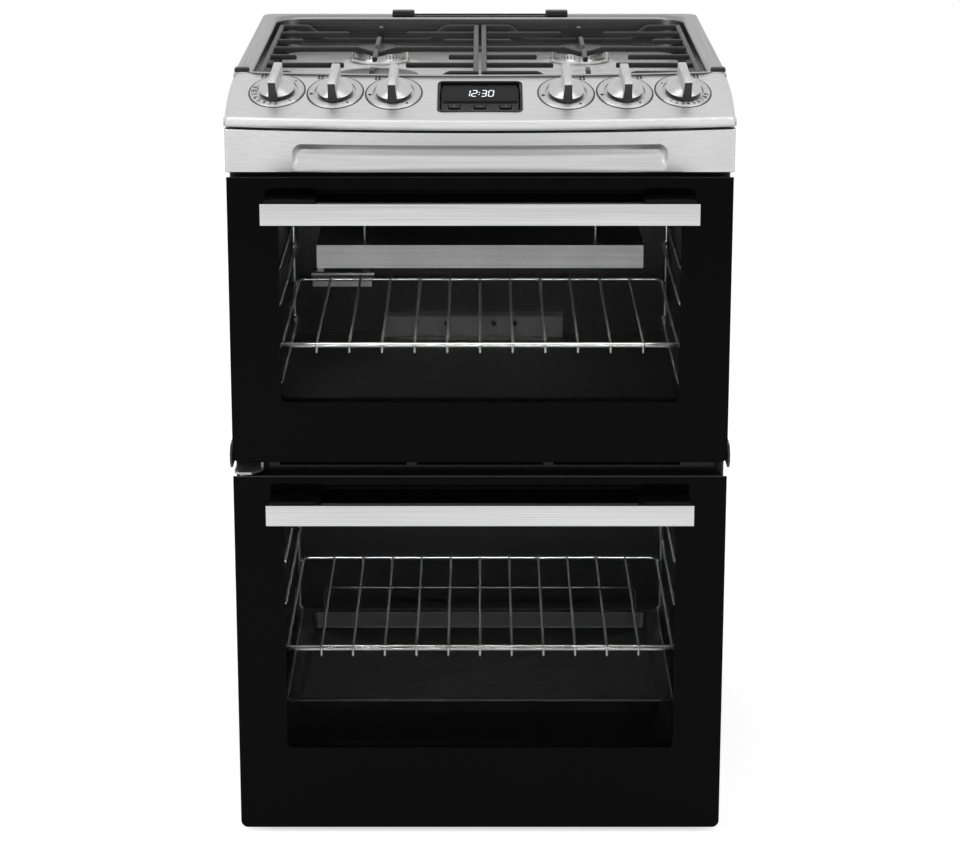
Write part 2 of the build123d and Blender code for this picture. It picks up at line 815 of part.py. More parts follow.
with BuildPart() as gas_taps:
    for plane in knob_planes:
        with BuildSketch(plane.offset(tap_end)):
            RegularPolygon(12, 6)
        extrude(amount=tap_top - tap_end)
        with BuildSketch(Plane.XY.offset(gas_rail_z - 13)):
            with Locations((plane.origin.X, gas_rail_y - 1)):
                Rectangle(20, 26)
        extrude(amount=36)
    with BuildSketch(Plane.YZ.offset(-270)):
        with Locations((gas_rail_y, gas_rail_z)):
            Rectangle(rail_size + 0.1, rail_size + 0.1)
    extrude(amount=520, mode=Mode.SUBTRACT)
    for plane in knob_planes:
        with BuildSketch(plane.offset(tap_end + 11)):
            RegularPolygon(bore_radius + 0.35, 8)
        extrude(amount=60, mode=Mode.SUBTRACT)
save(gas_taps, "gas_taps")

# Cover of the mains terminals, low on the back panel
with BuildPart() as terminal_cover:
    with BuildSketch(standing(back_depth + 3)):
        with Locations((-200, 700)):
            Rectangle(110, 70)
    extrude(amount=3)
    with BuildSketch(standing(back_depth - sheet)):
        with Locations((-200, 700)):
            Rectangle(100, 60)
    extrude(amount=40)
    with BuildSketch(Plane.XY.offset(600)):
        with Locations((-200, front + back_depth - 18)):
            RegularPolygon(6, 8)
    extrude(amount=90, mode=Mode.SUBTRACT)
save(terminal_cover, "terminal_cover")


# Hob tray: a rim on the casing, bowed along the fascia, round a deep basin with raised rings
def hob_outline(half, back, gap, back_corner, front_corner):
    """A plan outline that follows the fascia's bowed back edge at this gap."""
    run = panel_run + gap
    with BuildSketch() as outline:
        with BuildLine():
            ThreePointArc(
                (-half, arc_depth(run, half)), (0, arc_depth(run, 0)), (half, arc_depth(run, half))
            )
            Polyline(
                (half, arc_depth(run, half)), (half, front + back), (-half, front + back),
                (-half, arc_depth(run, half)),
            )
        make_face()
        fillet(vertices().group_by(Axis.Y)[-1], back_corner)
        if front_corner > 0:
            fillet(vertices().group_by(Axis.Y)[0], front_corner)
    return outline.sketch


rim_half = rim_width / 2
burner_spots = (
    (-127, 190, 60, 52, 15, 6),
    (129, 196, 30, 22.5, 9, 5),
    (-132, 460, 39.5, 32.5, 9, 5),
    (131, 460, 39.5, 32.5, 9, 5),
)
burner_sides = 16
ring_height = 4
throat = 16
with BuildPart() as hob_tray:
    with BuildSketch(Plane.XY.offset(side_top)):
        add(hob_outline(rim_half, cooker_depth, 0.5, 14, 0))
    extrude(amount=rim_height - side_top)
    with BuildSketch(Plane.XY.offset(basin_floor)):
        add(hob_outline(basin_half, basin_back, 2.5, 34, 20))
    extrude(amount=rim_height - basin_floor, mode=Mode.SUBTRACT)
    chamfer(hob_tray.faces().filter_by(Axis.Z).sort_by(Axis.Z)[1].edges(), 5)
    with BuildSketch(Plane.XY.offset(side_top)):
        add(hob_outline(rim_half - sheet, cooker_depth - sheet, 0.4, 12, 0))
        add(hob_outline(basin_half + sheet, basin_back + sheet, 0.3, 36, 0), mode=Mode.SUBTRACT)
    extrude(amount=rim_height - side_top - sheet, mode=Mode.SUBTRACT)
    for x, depth, base, cap, crown_height, cap_height in burner_spots:
        with BuildSketch(Plane.XY.offset(basin_floor)):
            with Locations((x, front + depth)):
                RegularPolygon(base + 10, 16)
        extrude(amount=ring_height, taper=60)
        with BuildSketch(Plane.XY.offset(side_top)):
            with Locations((x, front + depth)):
                RegularPolygon(throat, 8)
        extrude(amount=12, mode=Mode.SUBTRACT)
    with BuildSketch(Plane.XY.offset(rim_height - 3)):
        with Locations((0, front + cooker_depth)):
            Rectangle(322, 4)
    extrude(amount=3, mode=Mode.SUBTRACT)
save(hob_tray, "hob_tray")

with BuildPart() as rim_end_caps:
    with BuildSketch(Plane.XY.offset(rim_height)):
        with Locations((284, front + 94)):
            Rectangle(18, 14)
    extrude(amount=4)
    chamfer(rim_end_caps.edges().group_by(Axis.Z)[-1], 1.5)
    mirror(about=Plane.YZ)
save(rim_end_caps, "rim_end_caps")

# Two hinge blocks for a lid on the rear rim, joined by a low bar
with BuildPart() as rear_lid_blocks:
    with BuildSketch(Plane.XY.offset(rim_height)):
        with Locations((0, front + 582)):
            with GridLocations(207, 0, 2, 1):
                Rectangle(30, 18)
    extrude(amount=6)
    chamfer(rear_lid_blocks.edges().group_by(Axis.Z)[-1], 1)
    with BuildSketch(Plane.XY.offset(rim_height)):
        with Locations((0, front + 575)):
            Rectangle(180, 4)
    extrude(amount=2.5)
save(rear_lid_blocks, "rear_lid_blocks")

# Burners: an aluminium base and crown under a black cap, with a spark plug and a probe
with BuildPart() as burner_bases:
    for x, depth, base, cap, crown_height, cap_height in burner_spots:
        with BuildSketch(Plane.XY.offset(basin_floor + ring_height)):
            with Locations((x, front + depth)):
                RegularPolygon(base, burner_sides)
        extrude(amount=4)
        with BuildSketch(Plane.XY.offset(side_top - 11)):
            with Locations((x, front + depth)):
                RegularPolygon(throat - 0.3, 8)
        extrude(amount=18)
        with BuildSketch(Plane.XY.offset(side_top - 11)):
            with Locations((x, front + depth)):
                RegularPolygon(10, 8)
            with Locations((x + base - 4, front + depth), (x - base + 4, front + depth)):
                RegularPolygon(2.6, 6)
        extrude(amount=40, mode=Mode.SUBTRACT)
save(burner_bases, "burner_bases")

crown_low = basin_floor + ring_height + 4
with BuildPart() as burner_crowns:
    for x, depth, base, cap, crown_height, cap_height in burner_spots:
        with BuildSketch(Plane.XY.offset(crown_low)):
            with Locations((x, front + depth)):
                RegularPolygon(base - 7, burner_sides)
                RegularPolygon(base - 12, burner_sides, mode=Mode.SUBTRACT)
        extrude(amount=crown_height)
save(burner_crowns, "burner_crowns")

with BuildPart() as burner_caps:
    for x, depth, base, cap, crown_height, cap_height in burner_spots:
        with BuildSketch(Plane.XY.offset(crown_low + crown_height)):
            with Locations((x, front + depth)):
                RegularPolygon(cap, burner_sides)
        extrude(amount=cap_height)
    chamfer(burner_caps.faces().filter_by(Axis.Z).group_by(Axis.Z)[-1].edges(), 1.5)
save(burner_caps, "burner_caps")

with BuildPart() as spark_electrodes:
    for x, depth, base, cap, crown_height, cap_height in burner_spots:
        with BuildSketch(Plane.XY.offset(basin_floor + ring_height)):
            with Locations((x + base - 4, front + depth), (x - base + 4, front + depth)):
                RegularPolygon(2.45, 6)
        extrude(amount=11)
        with BuildSketch(Plane.XY.offset(basin_floor + ring_height + 11)):
            with Locations((x + base - 4, front + depth)):
                Rectangle(1.8, 1.8)
        extrude(amount=4)
save(spark_electrodes, "spark_electrodes")

# Pan supports: cast grids of bars with short and long fingers, on four legs each
outer_bar = 264
centre_bar = 5
finger_bar = 131
row_depths = [526 - 66 * row for row in range(7)]
middle_row = row_depths[3]
finger_ends = {
    "left": ((229, 46), (172, 96), (229, 46), None, (229, 39), (167, 91), (229, 39)),
    "right": ((222.5, 39.5), (162, 106), (222.5, 39.5), None, (185, 71), (167, 90), (185, 71)),
}
bar_low = support_top - bar_height
for side, way in (("left", -1), ("right", 1)):
    with BuildPart() as pan_support:
        with BuildSketch(Plane.XY.offset(bar_low)):
            for x in (outer_bar, centre_bar):
                with Locations((way * x, front + middle_row)):
                    Rectangle(bar_width, row_depths[0] - row_depths[-1] + bar_width)
            for depth, ends in zip(row_depths, finger_ends[side]):
                for start, end in ((outer_bar, finger_bar + 24), (finger_bar - 24, centre_bar)):
                    if ends:
                        start, end = (outer_bar, ends[0]) if start == outer_bar else (ends[1], centre_bar)
                    with Locations((way * (start + end) / 2, front + depth)):
                        Rectangle(abs(start - end), bar_width)
            with Locations((way * finger_bar, front + (240 + 418) / 2)):
                Rectangle(bar_width - 0.5, 178)
        extrude(amount=bar_height)
        with BuildSketch(Plane.XZ.offset(-(front + middle_row))):
            with BuildLine():
                Polyline(
                    (way * (finger_bar - 24), support_top),
                    (way * (finger_bar - 4), support_top - 6),
                    (way * (finger_bar + 4), support_top - 6),
                    (way * (finger_bar + 24), support_top),
                    (way * (finger_bar + 24), bar_low),
                    (way * (finger_bar + 4), bar_low - 6),
                    (way * (finger_bar - 4), bar_low - 6),
                    (way * (finger_bar - 24), bar_low),
                    close=True,
                )
            make_face()
        extrude(amount=bar_width / 2, both=True)
        for depth, ends, tip in (
            (row_depths[0], finger_ends[side][0], 498),
            (row_depths[-1], finger_ends[side][-1], 162),
        ):
            with BuildSketch(Plane.XZ.offset(-(front + depth))):
                with BuildLine():
                    Polyline(
                        (way * (ends[0] + 2), support_top),
                        (way * (ends[0] - 22), support_top - 18),
                        (way * (ends[1] + 22), support_top - 18),
                        (way * (ends[1] - 2), support_top),
                        (way * (ends[1] - 2), bar_low),
                        (way * (ends[1] + 22), bar_low - 16),
                        (way * (ends[0] - 22), bar_low - 16),
                        (way * (ends[0] + 2), bar_low),
                        close=True,
                    )
                make_face()
            extrude(amount=bar_width / 2, both=True)
            lean = 1 if tip > depth else -1
            with BuildSketch(Plane.YZ.offset(way * finger_bar)):
                with BuildLine():
                    Polyline(
                        (front + depth, support_top - 18),
                        (front + depth + lean * 10, support_top),
                        (front + tip, support_top),
                        (front + tip, bar_low),
                        (front + depth + lean * 8, bar_low),
                        (front + depth, bar_low - 16),
                        close=True,
                    )
                make_face()
            extrude(amount=bar_width / 2 - 0.25, both=True)
        with BuildSketch(Plane.XY.offset(basin_floor + 0.05)):
            for x in (outer_bar - 4.5, centre_bar + 0.5):
                for depth in (row_depths[0], row_depths[-1]):
                    with Locations((way * x, front + depth)):
                        Rectangle(7, 7)
        extrude(amount=bar_low - basin_floor)
    save(pan_support, side + "_pan_support")
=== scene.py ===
"""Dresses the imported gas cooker: finishes for every part, and finer surfaces for the parts on show.

Lengths in the shape functions are millimetres, +X right, +Y back, +Z up, from the floor under the
middle of the cooker. Each surface is a grid of points worked out from two parameters.
"""

import math

import bmesh
import bpy
import numpy as np
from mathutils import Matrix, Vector


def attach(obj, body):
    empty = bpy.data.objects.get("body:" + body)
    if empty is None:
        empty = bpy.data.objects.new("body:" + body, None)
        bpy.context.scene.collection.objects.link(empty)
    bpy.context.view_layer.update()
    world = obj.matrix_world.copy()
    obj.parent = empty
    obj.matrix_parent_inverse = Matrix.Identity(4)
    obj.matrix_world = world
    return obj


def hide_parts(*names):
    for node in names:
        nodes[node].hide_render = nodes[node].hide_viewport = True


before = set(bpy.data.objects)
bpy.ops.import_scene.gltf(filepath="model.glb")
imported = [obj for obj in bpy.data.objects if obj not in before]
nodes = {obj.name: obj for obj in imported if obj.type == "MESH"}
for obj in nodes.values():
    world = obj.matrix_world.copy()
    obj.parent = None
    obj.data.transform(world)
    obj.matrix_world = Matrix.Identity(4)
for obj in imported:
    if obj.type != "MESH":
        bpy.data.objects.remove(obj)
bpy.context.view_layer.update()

MM = 0.001
FRONT = -275.0  # the y of the doors' outer faces, which depths are measured back from

# Finishes: their sizes are in metres

GRAIN_DEPTH = 0.0002
GLASS_WAVE = (0.004, 0.0005)  # strength and depth


def fill(tree, node, **sockets):
    """Sets a shader node's input sockets by name, or by number after a _; a socket links across."""
    for key, value in sockets.items():
        place = node.inputs[int(key[1:]) if key[1:].isdigit() else key.replace("_", " ")]
        if isinstance(value, bpy.types.NodeSocket):
            tree.links.new(value, place)
        else:
            place.default_value = value


def add(tree, kind, settings=(), **sockets):
    """A shader node with its settings and its input sockets filled."""
    made = tree.nodes.new(kind)
    for key, value in dict(settings).items():
        setattr(made, key, value)
    fill(tree, made, **sockets)
    return made


def grey(level):
    """A neutral colour of that level."""
    return (level, level, level, 1.0)


def blank(name):
    """An empty material, its Principled shader and the coordinates of the piece, in metres."""
    made = bpy.data.materials.new(name)
    made.use_nodes = True
    tree = made.node_tree
    shader = tree.nodes["Principled BSDF"]
    place = tree.nodes.new("ShaderNodeTexCoord").outputs["Object"]
    return made, tree, shader, place


def speckle(tree, place, scale, stretch=(1, 1, 1), detail=3.0):
    """Noise from 0 to 1, that many blotches to the metre, squeezed along each axis by stretch."""
    squeezed = add(tree, "ShaderNodeMapping", Vector=place, Scale=stretch).outputs[0]
    noise = add(tree, "ShaderNodeTexNoise", Vector=squeezed, Scale=scale, Detail=detail)
    return noise.outputs["Fac"]


def spread(tree, value, low, high, start=0.3, end=0.7):
    """The value from start to end becomes low to high."""
    return add(tree, "ShaderNodeMapRange", _0=value, _1=start, _2=end, _3=low, _4=high).outputs[0]


def tint(tree, value, one, other):
    """A colour between one and other by the value."""
    mixed = add(tree, "ShaderNodeMix", {"data_type": "RGBA"}, Factor=value, _6=one, _7=other)
    return mixed.outputs[2]


def relief(tree, shader, height, strength, depth):
    """Lets the height lift the surface by up to the depth."""
    lifted = add(tree, "ShaderNodeBump", Strength=strength, Distance=depth, Height=height)
    fill(tree, shader, Normal=lifted.outputs[0])


def coated(name, dark, light, rough, scale, fine, lift, gloss=0.5, metal=0.0, stretch=(1, 1, 1)):
    """Paint, plastic, rubber or metal: colour drifts over the blotches, gloss over a fine grain.

    There are scale blotches and fine grains to the metre, squeezed along each axis by stretch.
    """
    made, tree, shader, place = blank(name)
    drift = speckle(tree, place, scale, stretch)
    grain = speckle(tree, place, fine, stretch, 2.0)
    dark = grey(dark) if isinstance(dark, float) else dark
    light = grey(light) if isinstance(light, float) else light
    fill(tree, shader, Base_Color=tint(tree, spread(tree, drift, 0, 1), dark, light),
         Roughness=spread(tree, grain, *rough), Metallic=metal, Specular_IOR_Level=gloss)
    relief(tree, shader, grain, lift, GRAIN_DEPTH)
    return made


def brushed(name, dark, light, rough, stretch, fine=1.6, lift=0.05):
    """Brushed metal: its lines run along the axis that is squeezed least."""
    return coated(name, dark, light, rough, 1, fine, lift, metal=1.0, stretch=stretch)


fascia_steel = brushed("fascia_steel", 0.56, 0.64, (0.42, 0.52), (3, 700, 700), lift=0.06)
strip_steel = brushed("strip_steel", 0.50, 0.57, (0.34, 0.44), (3, 700, 700), lift=0.06)
hob_steel = brushed("hob_steel", 0.58, 0.68, (0.46, 0.58), (3, 500, 500))
# The hob's rim and basin wall are the same sheet as its floor, painted darker: painted shade.
rim_shaded_steel = brushed("rim_shaded_steel", 0.24, 0.32, (0.3, 0.4), (500, 3, 500))
wall_shaded_steel = brushed("wall_shaded_steel", 0.045, 0.08, (0.24, 0.34), (3, 3, 500))
handle_steel = brushed("handle_steel", 0.46, 0.62, (0.28, 0.42), (4, 800, 800), 1.5, 0.08)
knob_steel = brushed("knob_steel", 0.50, 0.62, (0.22, 0.34), (500, 4, 500), 1.5, 0.06)
shield_steel = brushed("shield_steel", 0.42, 0.52, (0.28, 0.42), (3, 300, 300), 2, 0.06)
brass = brushed("spindle_brass", (0.62, 0.46, 0.2, 1), (0.74, 0.58, 0.3, 1), (0.2, 0.35),
                (30, 30, 900), 2, 0.1)

burner_metal = coated("burner_metal", 0.55, 0.68, (0.18, 0.34), 90, 1200, 0.1, metal=1.0)
chrome = coated("chrome_wire", 0.56, 0.7, (0.16, 0.28), 40, 700, 0.03, metal=0.9)
zinc = coated("plated_sheet", 0.34, 0.43, (0.38, 0.5), 90, 600, 0.06, metal=1.0)
tap_metal = coated("tap_metal", 0.42, 0.56, (0.34, 0.5), 150, 1600, 0.5, metal=1.0)

black_plastic = coated("black_plastic", 0.005, 0.009, (0.38, 0.5), 30, 2500, 0.25, 0.35)
post_black = coated("post_black", 0.0012, 0.0022, (0.28, 0.38), 30, 2500, 0.15, 0.06)
gloss_black = coated("gloss_black_plastic", 0.006, 0.009, (0.08, 0.14), 20, 500, 0.02, 0.3)
# Black for the knobs' walls, the grips' fronts and the rings' grooves: painted shade where these lie
# in shadow.
knob_shade_black = coated("knob_shade_black", 0.016, 0.026, (0.3, 0.4), 60, 2500, 0.2, 0.35)
print_black = coated("print_black", 0.01, 0.016, (0.5, 0.6), 200, 2500, 0.1, 0.3)
mark_grey = coated("mark_grey", 0.10, 0.16, (0.4, 0.5), 200, 2500, 0.1, 0.3)
strip_grey = coated("strip_grey", 0.035, 0.06, (0.2, 0.3), 30, 1200, 0.05, 0.4)

black_enamel = coated("black_enamel", 0.002, 0.004, (0.28, 0.4), 25, 260, 0.06, 0.3)
rim_enamel = coated("rim_enamel", 0.02, 0.03, (0.06, 0.1), 40, 300, 0.03, 0.7)
dull_enamel = coated("dull_enamel", 0.09, 0.13, (0.25, 0.4), 30, 500, 0.08, 0.4)
cap_enamel = coated("cap_enamel", 0.014, 0.024, (0.3, 0.45), 60, 1200, 0.3, 0.4)
casing_paint = coated("casing_paint", 0.034, 0.038, (0.32, 0.42), 15, 1500, 0.3, 0.4)
support_iron = coated("support_iron", 0.012, 0.02, (0.36, 0.5), 80, 1400, 0.4, 0.3)
gasket = coated("gasket", 0.03, 0.05, (0.7, 0.85), 90, 1800, 0.6, 0.3)
foot_rubber = coated("foot_rubber", 0.015, 0.03, (0.6, 0.75), 90, 1500, 0.4, 0.3)
ceramic = coated("white_ceramic", (0.66, 0.65, 0.6, 1), (0.8, 0.79, 0.75, 1), (0.15, 0.3),
                 200, 900, 0.15)


def lathe(name, dark, light):
    """Steel turned on a lathe: fine rings round it, and gloss that stretches across the rings."""
    made = brushed(name, dark, light, (0.36, 0.48), (500, 500, 500), 2)
    tree = made.node_tree
    along = add(tree, "ShaderNodeTangent", {"direction_type": "UV_MAP", "uv_map": "grain"})
    fill(tree, tree.nodes["Principled BSDF"], Anisotropic=0.75, Anisotropic_Rotation=0.25,
         Tangent=along.outputs[0])
    return made


turned_steel = lathe("turned_steel", 0.52, 0.62)
ring_steel = lathe("ring_steel", 0.50, 0.60)


def plain_glass(name, colour, alpha, rough):
    """A clear pane: a thin see-through coat with a little colour and a faint waviness."""
    made, tree, shader, place = blank(name)
    wave = speckle(tree, place, 14, detail=1.0)
    fill(tree, shader, Alpha=spread(tree, wave, alpha - 0.02, alpha + 0.02),
         Roughness=spread(tree, wave, rough, rough + 0.03), Specular_IOR_Level=0.25,
         Base_Color=tint(tree, wave, grey(colour), grey(colour * 1.3)))
    relief(tree, shader, wave, *GLASS_WAVE)
    return made


inner_glass = plain_glass("inner_glass", 0.01, 0.04, 0.03)
clock_glass = plain_glass("clock_glass", 0.006, 0.55, 0.05)


def window_glass(name, low, high):
    """Black printed door glass: solid outside a rounded window, with fine slanting dots in it.

    The window is where the rounded box distance from its middle is under 0; the dots are where
    cos(a) + cos(b), with a and b running along the two diagonals, is over a threshold. The ground
    edges, where the normal turns off Y, are greyer: partly the glass's own ground grey, partly a
    painted highlight.
    """
    half, corner, blur, dot_pitch = 0.238, 0.006, 0.0003, 0.0022
    made, tree, shader, place = blank(name)
    apart = add(tree, "ShaderNodeSeparateXYZ", Vector=place)
    x, z = apart.outputs[0], apart.outputs[2]

    def reckon(operation, one, other=0.0):
        return add(tree, "ShaderNodeMath", {"operation": operation}, _0=one, _1=other).outputs[0]

    def past(value, reach):
        """How far the value's size goes past the reach, squared."""
        over = reckon("SUBTRACT", reckon("ABSOLUTE", value), reach)
        return reckon("POWER", reckon("MAXIMUM", over, 0.0), 2.0)

    def wave(value):
        return reckon("COSINE", reckon("MULTIPLY", value, 2 * math.pi / dot_pitch))

    upward = reckon("SUBTRACT", z, (low + high) / 2)
    squared = reckon("ADD", past(x, half - corner), past(upward, (high - low) / 2 - corner))
    printed = spread(tree, reckon("SQRT", squared), 0.0, 1.0, corner - blur, corner + blur)
    crossed = reckon("ADD", wave(reckon("ADD", x, z)), wave(reckon("SUBTRACT", x, z)))
    dots = spread(tree, crossed, 0.05, 0.55, 0.9, 1.4)
    # Edges facing off Y are greyer: partly the ground glass's own grey, partly a painted highlight.
    normal = tree.nodes["Texture Coordinate"].outputs["Normal"]
    facing = add(tree, "ShaderNodeSeparateXYZ", Vector=normal)
    ground_edge_highlight = spread(tree, reckon("ABSOLUTE", facing.outputs[1]), 1.0, 0.0, 0.3, 0.6)
    cloud = speckle(tree, place, 5, detail=1.0)
    coat = tint(tree, cloud, grey(0.0010), grey(0.0016))
    fill(tree, shader, Alpha=reckon("MAXIMUM", printed, dots), Specular_IOR_Level=0.04,
         Base_Color=tint(tree, ground_edge_highlight, coat, grey(0.09)), Roughness=spread(tree, cloud, 0.03, 0.06))
    relief(tree, shader, cloud, *GLASS_WAVE)
    return made


upper_window = window_glass("upper_door_glass", 0.5575, 0.790)
lower_window = window_glass("lower_door_glass", 0.114, 0.424)


def glowing(name, level):
    """Lit figures: pale plastic with an even glow of its own."""
    made, tree, shader, place = blank(name)
    drift = speckle(tree, place, 90)
    fill(tree, shader, Base_Color=tint(tree, drift, grey(0.6), grey(0.7)), Roughness=0.4,
         Emission_Color=(0.9, 0.95, 1, 1), Emission_Strength=level)
    return made


lit_figures = glowing("lit_figures", 0.75)

WEAR = (
    (casing_paint, "side_panels"),
    (zinc, "back_panel base_pan lower_hinge_brackets sensor_bracket gas_rail"),
    (foot_rubber, "levelling_feet"),
    (black_enamel, "front_frame upper_cavity lower_cavity enamel_tray"),
    (black_enamel, "upper_door_pan lower_door_pan"),
    (black_plastic, "upper_hinge_caps terminal_cover rim_end_caps rear_lid_blocks"),
    (gasket, "door_gaskets"),
    (chrome, "shelf_ladders upper_shelf lower_shelf"),
    (shield_steel, "grill_shield"),
    (burner_metal, "grill_burner burner_bases burner_crowns"),
    (dull_enamel, "oven_burners"),
    (fascia_steel, "control_fascia trim_strip"),
    (gloss_black, "clock_housing clock_button_1 clock_button_2 clock_button_3"),
    (clock_glass, "clock_lens"),
    (knob_steel, "knob_bezels knob_1 knob_2 knob_3 knob_4 knob_5 knob_6"),
    (tap_metal, "gas_taps"),
    (hob_steel, "hob_tray"),
    (cap_enamel, "burner_caps"),
    (ceramic, "spark_electrodes"),
    (support_iron, "left_pan_support right_pan_support"),
    (upper_window, "upper_door_glass"),
    (lower_window, "lower_door_glass"),
    (inner_glass, "upper_inner_glass lower_inner_glass"),
    (handle_steel, "upper_handle_bar lower_handle_bar"),
    (post_black, "upper_handle_posts lower_handle_posts"),
    (brass, " ".join(f"tap_spindle_{number}" for number in range(1, 7))),
)
for finish, names in WEAR:
    for name in names.split():
        nodes[name].data.materials.clear()
        nodes[name].data.materials.append(finish)

# Making surfaces


def grid(points, around=False, finish=0):
    """A grid of points, rows by columns: its points, four-cornered faces, their UVs and a finish.

    With around, the last column joins the first. U runs along the columns and V along the rows.
    """
    rows, columns = points.shape[:2]
    row, column = np.mgrid[0:rows - 1, 0:columns if around else columns - 1]
    corners = ((row, column), (row + 1, column), (row + 1, column + 1), (row, column + 1))
    faces = np.stack([r * columns + c % columns for r, c in corners], -1).reshape(-1, 4)
    spans = np.stack([np.stack([c / columns, r / rows], -1) for r, c in corners], -2)
    return points.reshape(-1, 3), faces, spans.reshape(-1, 8), finish


def capped(rows):
    """The rows of points with one more at each end, drawn in to the end row's middle."""
    poles = np.repeat(rows[[0, -1]].mean(1)[:, None], rows.shape[1], 1)
    return np.concatenate([poles[:1], rows, poles[1:]])


def without(shape, centre, reach):
    """The grid without the faces whose middle lies within reach of the centre along each axis."""
    points, faces, spans, finish = shape
    kept = (np.abs(points[faces].mean(1) - centre) > reach).any(1)
    return points, faces[kept], spans[kept], finish


def moved(shape, place):
    """The grid with its points put through place."""
    return (place(shape[0]), *shape[1:])


def piece(name, body, finishes, grids, replaces=(), facing=None, wall=0.0, sharp=32):
    """One object out of several grids in millimetres, its seams and poles closed.

    Closed shells are turned outwards. An open sheet says which way it faces, and its wall goes
    behind that.
    """
    starts = np.cumsum([0] + [len(g[0]) for g in grids])
    faces = [face for g, start in zip(grids, starts) for face in (g[1] + start).tolist()]
    mesh = bpy.data.meshes.new(name)
    mesh.from_pydata((np.concatenate([g[0] for g in grids]) * MM).tolist(), [], faces)
    for finish in finishes:
        mesh.materials.append(finish)
    worn = np.concatenate([np.full(len(g[1]), g[3]) for g in grids])
    mesh.polygons.foreach_set("material_index", worn)
    spans = np.concatenate([g[2].ravel() for g in grids])
    mesh.uv_layers.new(name="grain").data.foreach_set("uv", spans)
    work = bmesh.new()
    work.from_mesh(mesh)
    bmesh.ops.remove_doubles(work, verts=work.verts, dist=2e-6)
    bmesh.ops.dissolve_degenerate(work, edges=work.edges, dist=1e-6)
    if facing is None:
        bmesh.ops.recalc_face_normals(work, faces=work.faces)
    elif sum((f.normal * f.calc_area() for f in work.faces), Vector()).dot(Vector(facing)) < 0:
        bmesh.ops.reverse_faces(work, faces=work.faces)
    work.to_mesh(mesh)
    work.free()
    mesh.polygons.foreach_set("use_smooth", np.ones(len(mesh.polygons), bool))
    mesh.set_sharp_from_angle(angle=math.radians(sharp))
    made = bpy.data.objects.new(name, mesh)
    bpy.context.scene.collection.objects.link(made)
    if wall:
        thick = made.modifiers.new("wall", "SOLIDIFY")
        thick.thickness, thick.offset = wall * MM, -1
    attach(made, body)
    if replaces:
        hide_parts(*replaces)
    return made


def unit(vectors):
    """Each vector at length 1."""
    return vectors / np.linalg.norm(vectors, axis=-1, keepdims=True)


def smooth(value, start, end):
    """0 at the start, 1 at the end, and an even S between them: t t (3 - 2 t)."""
    t = np.clip((value - start) / (end - start), 0, 1)
    return t * t * (3 - 2 * t)


def stations(*stretches):
    """Values in even steps over each (start, end, count) in turn, shared ends taken once."""
    lines = [np.linspace(*stretch) for stretch in stretches]
    return np.concatenate(lines[:1] + [line[1:] for line in lines[1:]])


def rounded(corners, radius, steps=6, closed=False):
    """The line through these corners, each rounded by an arc of its radius.

    The arc turns through w about a point on the corner's bisector, from one leg to the other:
    centre + (start sin((1 - t) w) + end sin(t w)) / sin w.
    """
    corners = np.array(corners, float)
    radii = np.broadcast_to(np.array(radius, float), len(corners)).copy()
    one = np.roll(corners, 1, 0) - corners
    two = np.roll(corners, -1, 0) - corners
    if not closed:
        radii[[0, -1]] = 0
        one[0], two[-1] = -two[0] + 0.01, -one[-1] + 0.01
    one, two = unit(one), unit(two)
    half = np.arccos(np.clip(np.sum(one * two, 1), -0.99999, 1)) / 2
    centre = corners + unit(one + two) * (radii / np.sin(half))[:, None]
    reach = (radii / np.tan(half))[:, None]
    start, end = corners + one * reach - centre, corners + two * reach - centre
    turn = (np.pi - 2 * half)[:, None, None]
    t = np.linspace(0, 1, steps + 1)[None, :, None]
    arcs = start[:, None] * np.sin((1 - t) * turn) + end[:, None] * np.sin(t * turn)
    line = (centre[:, None] + arcs / np.sin(turn)).reshape(-1, corners.shape[1])
    far = np.linalg.norm(line - np.roll(line, 1, 0), axis=1) > 1e-6
    far[0] = far[0] or not closed
    return line[far]


def ring(radius, sides=12):
    """A round section: radius (cos a, sin a) at even steps of the angle."""
    angle = np.linspace(0, 2 * np.pi, sides, endpoint=False)
    return radius * np.stack([np.cos(angle), np.sin(angle)], -1)


def box(width, height, radius, steps=3):
    """A rectangle about its middle with rounded corners."""
    x, y = width / 2, height / 2
    return rounded([(x, -y), (x, y), (-x, y), (-x, -y)], radius, steps, True)


def carried(path, section, up, closed=False, tips=0.0):
    """A section carried along a path: point + across * side + over * top, closed at its ends.

    Side is square to the path and to up, and top is square to both. Tips draws the section in to
    0.72 of its size over that length at each end.
    """
    path = np.array(path, float)
    section = np.broadcast_to(section, (len(path), *section.shape)).copy()
    if tips:
        near, far = path[[0, -1]] - unit(path[[0, -1]] - path[[1, -2]]) * tips
        path = np.concatenate([path[:1], [near], path[1:-1], [far], path[-1:]])
        section = np.concatenate([section[:1] * 0.72, section, section[-1:] * 0.72])
    if closed:
        along = unit(np.roll(path, -1, 0) - np.roll(path, 1, 0))
    else:
        along = unit(np.gradient(path, axis=0))
    side = unit(np.cross(along, np.broadcast_to(np.array(up, float), along.shape)))
    top = np.cross(side, along)
    points = path[:, None] + section[..., :1] * side[:, None] + section[..., 1:] * top[:, None]
    return grid(np.concatenate([points, points[:1]]) if closed else capped(points), True)


def turned(profile, centre=(0, 0, 0), finish=0, sides=64):
    """A profile of (radius, height) turned about an upright line: (r cos a, r sin a, height)."""
    profile = np.array(profile, float)
    angle = np.linspace(0, 2 * np.pi, sides, endpoint=False)
    x, y = profile[:, :1] * np.cos(angle), profile[:, :1] * np.sin(angle)
    return grid(np.stack([x, y, profile[:, 1:] + 0 * x], -1) + np.array(centre), True, finish)


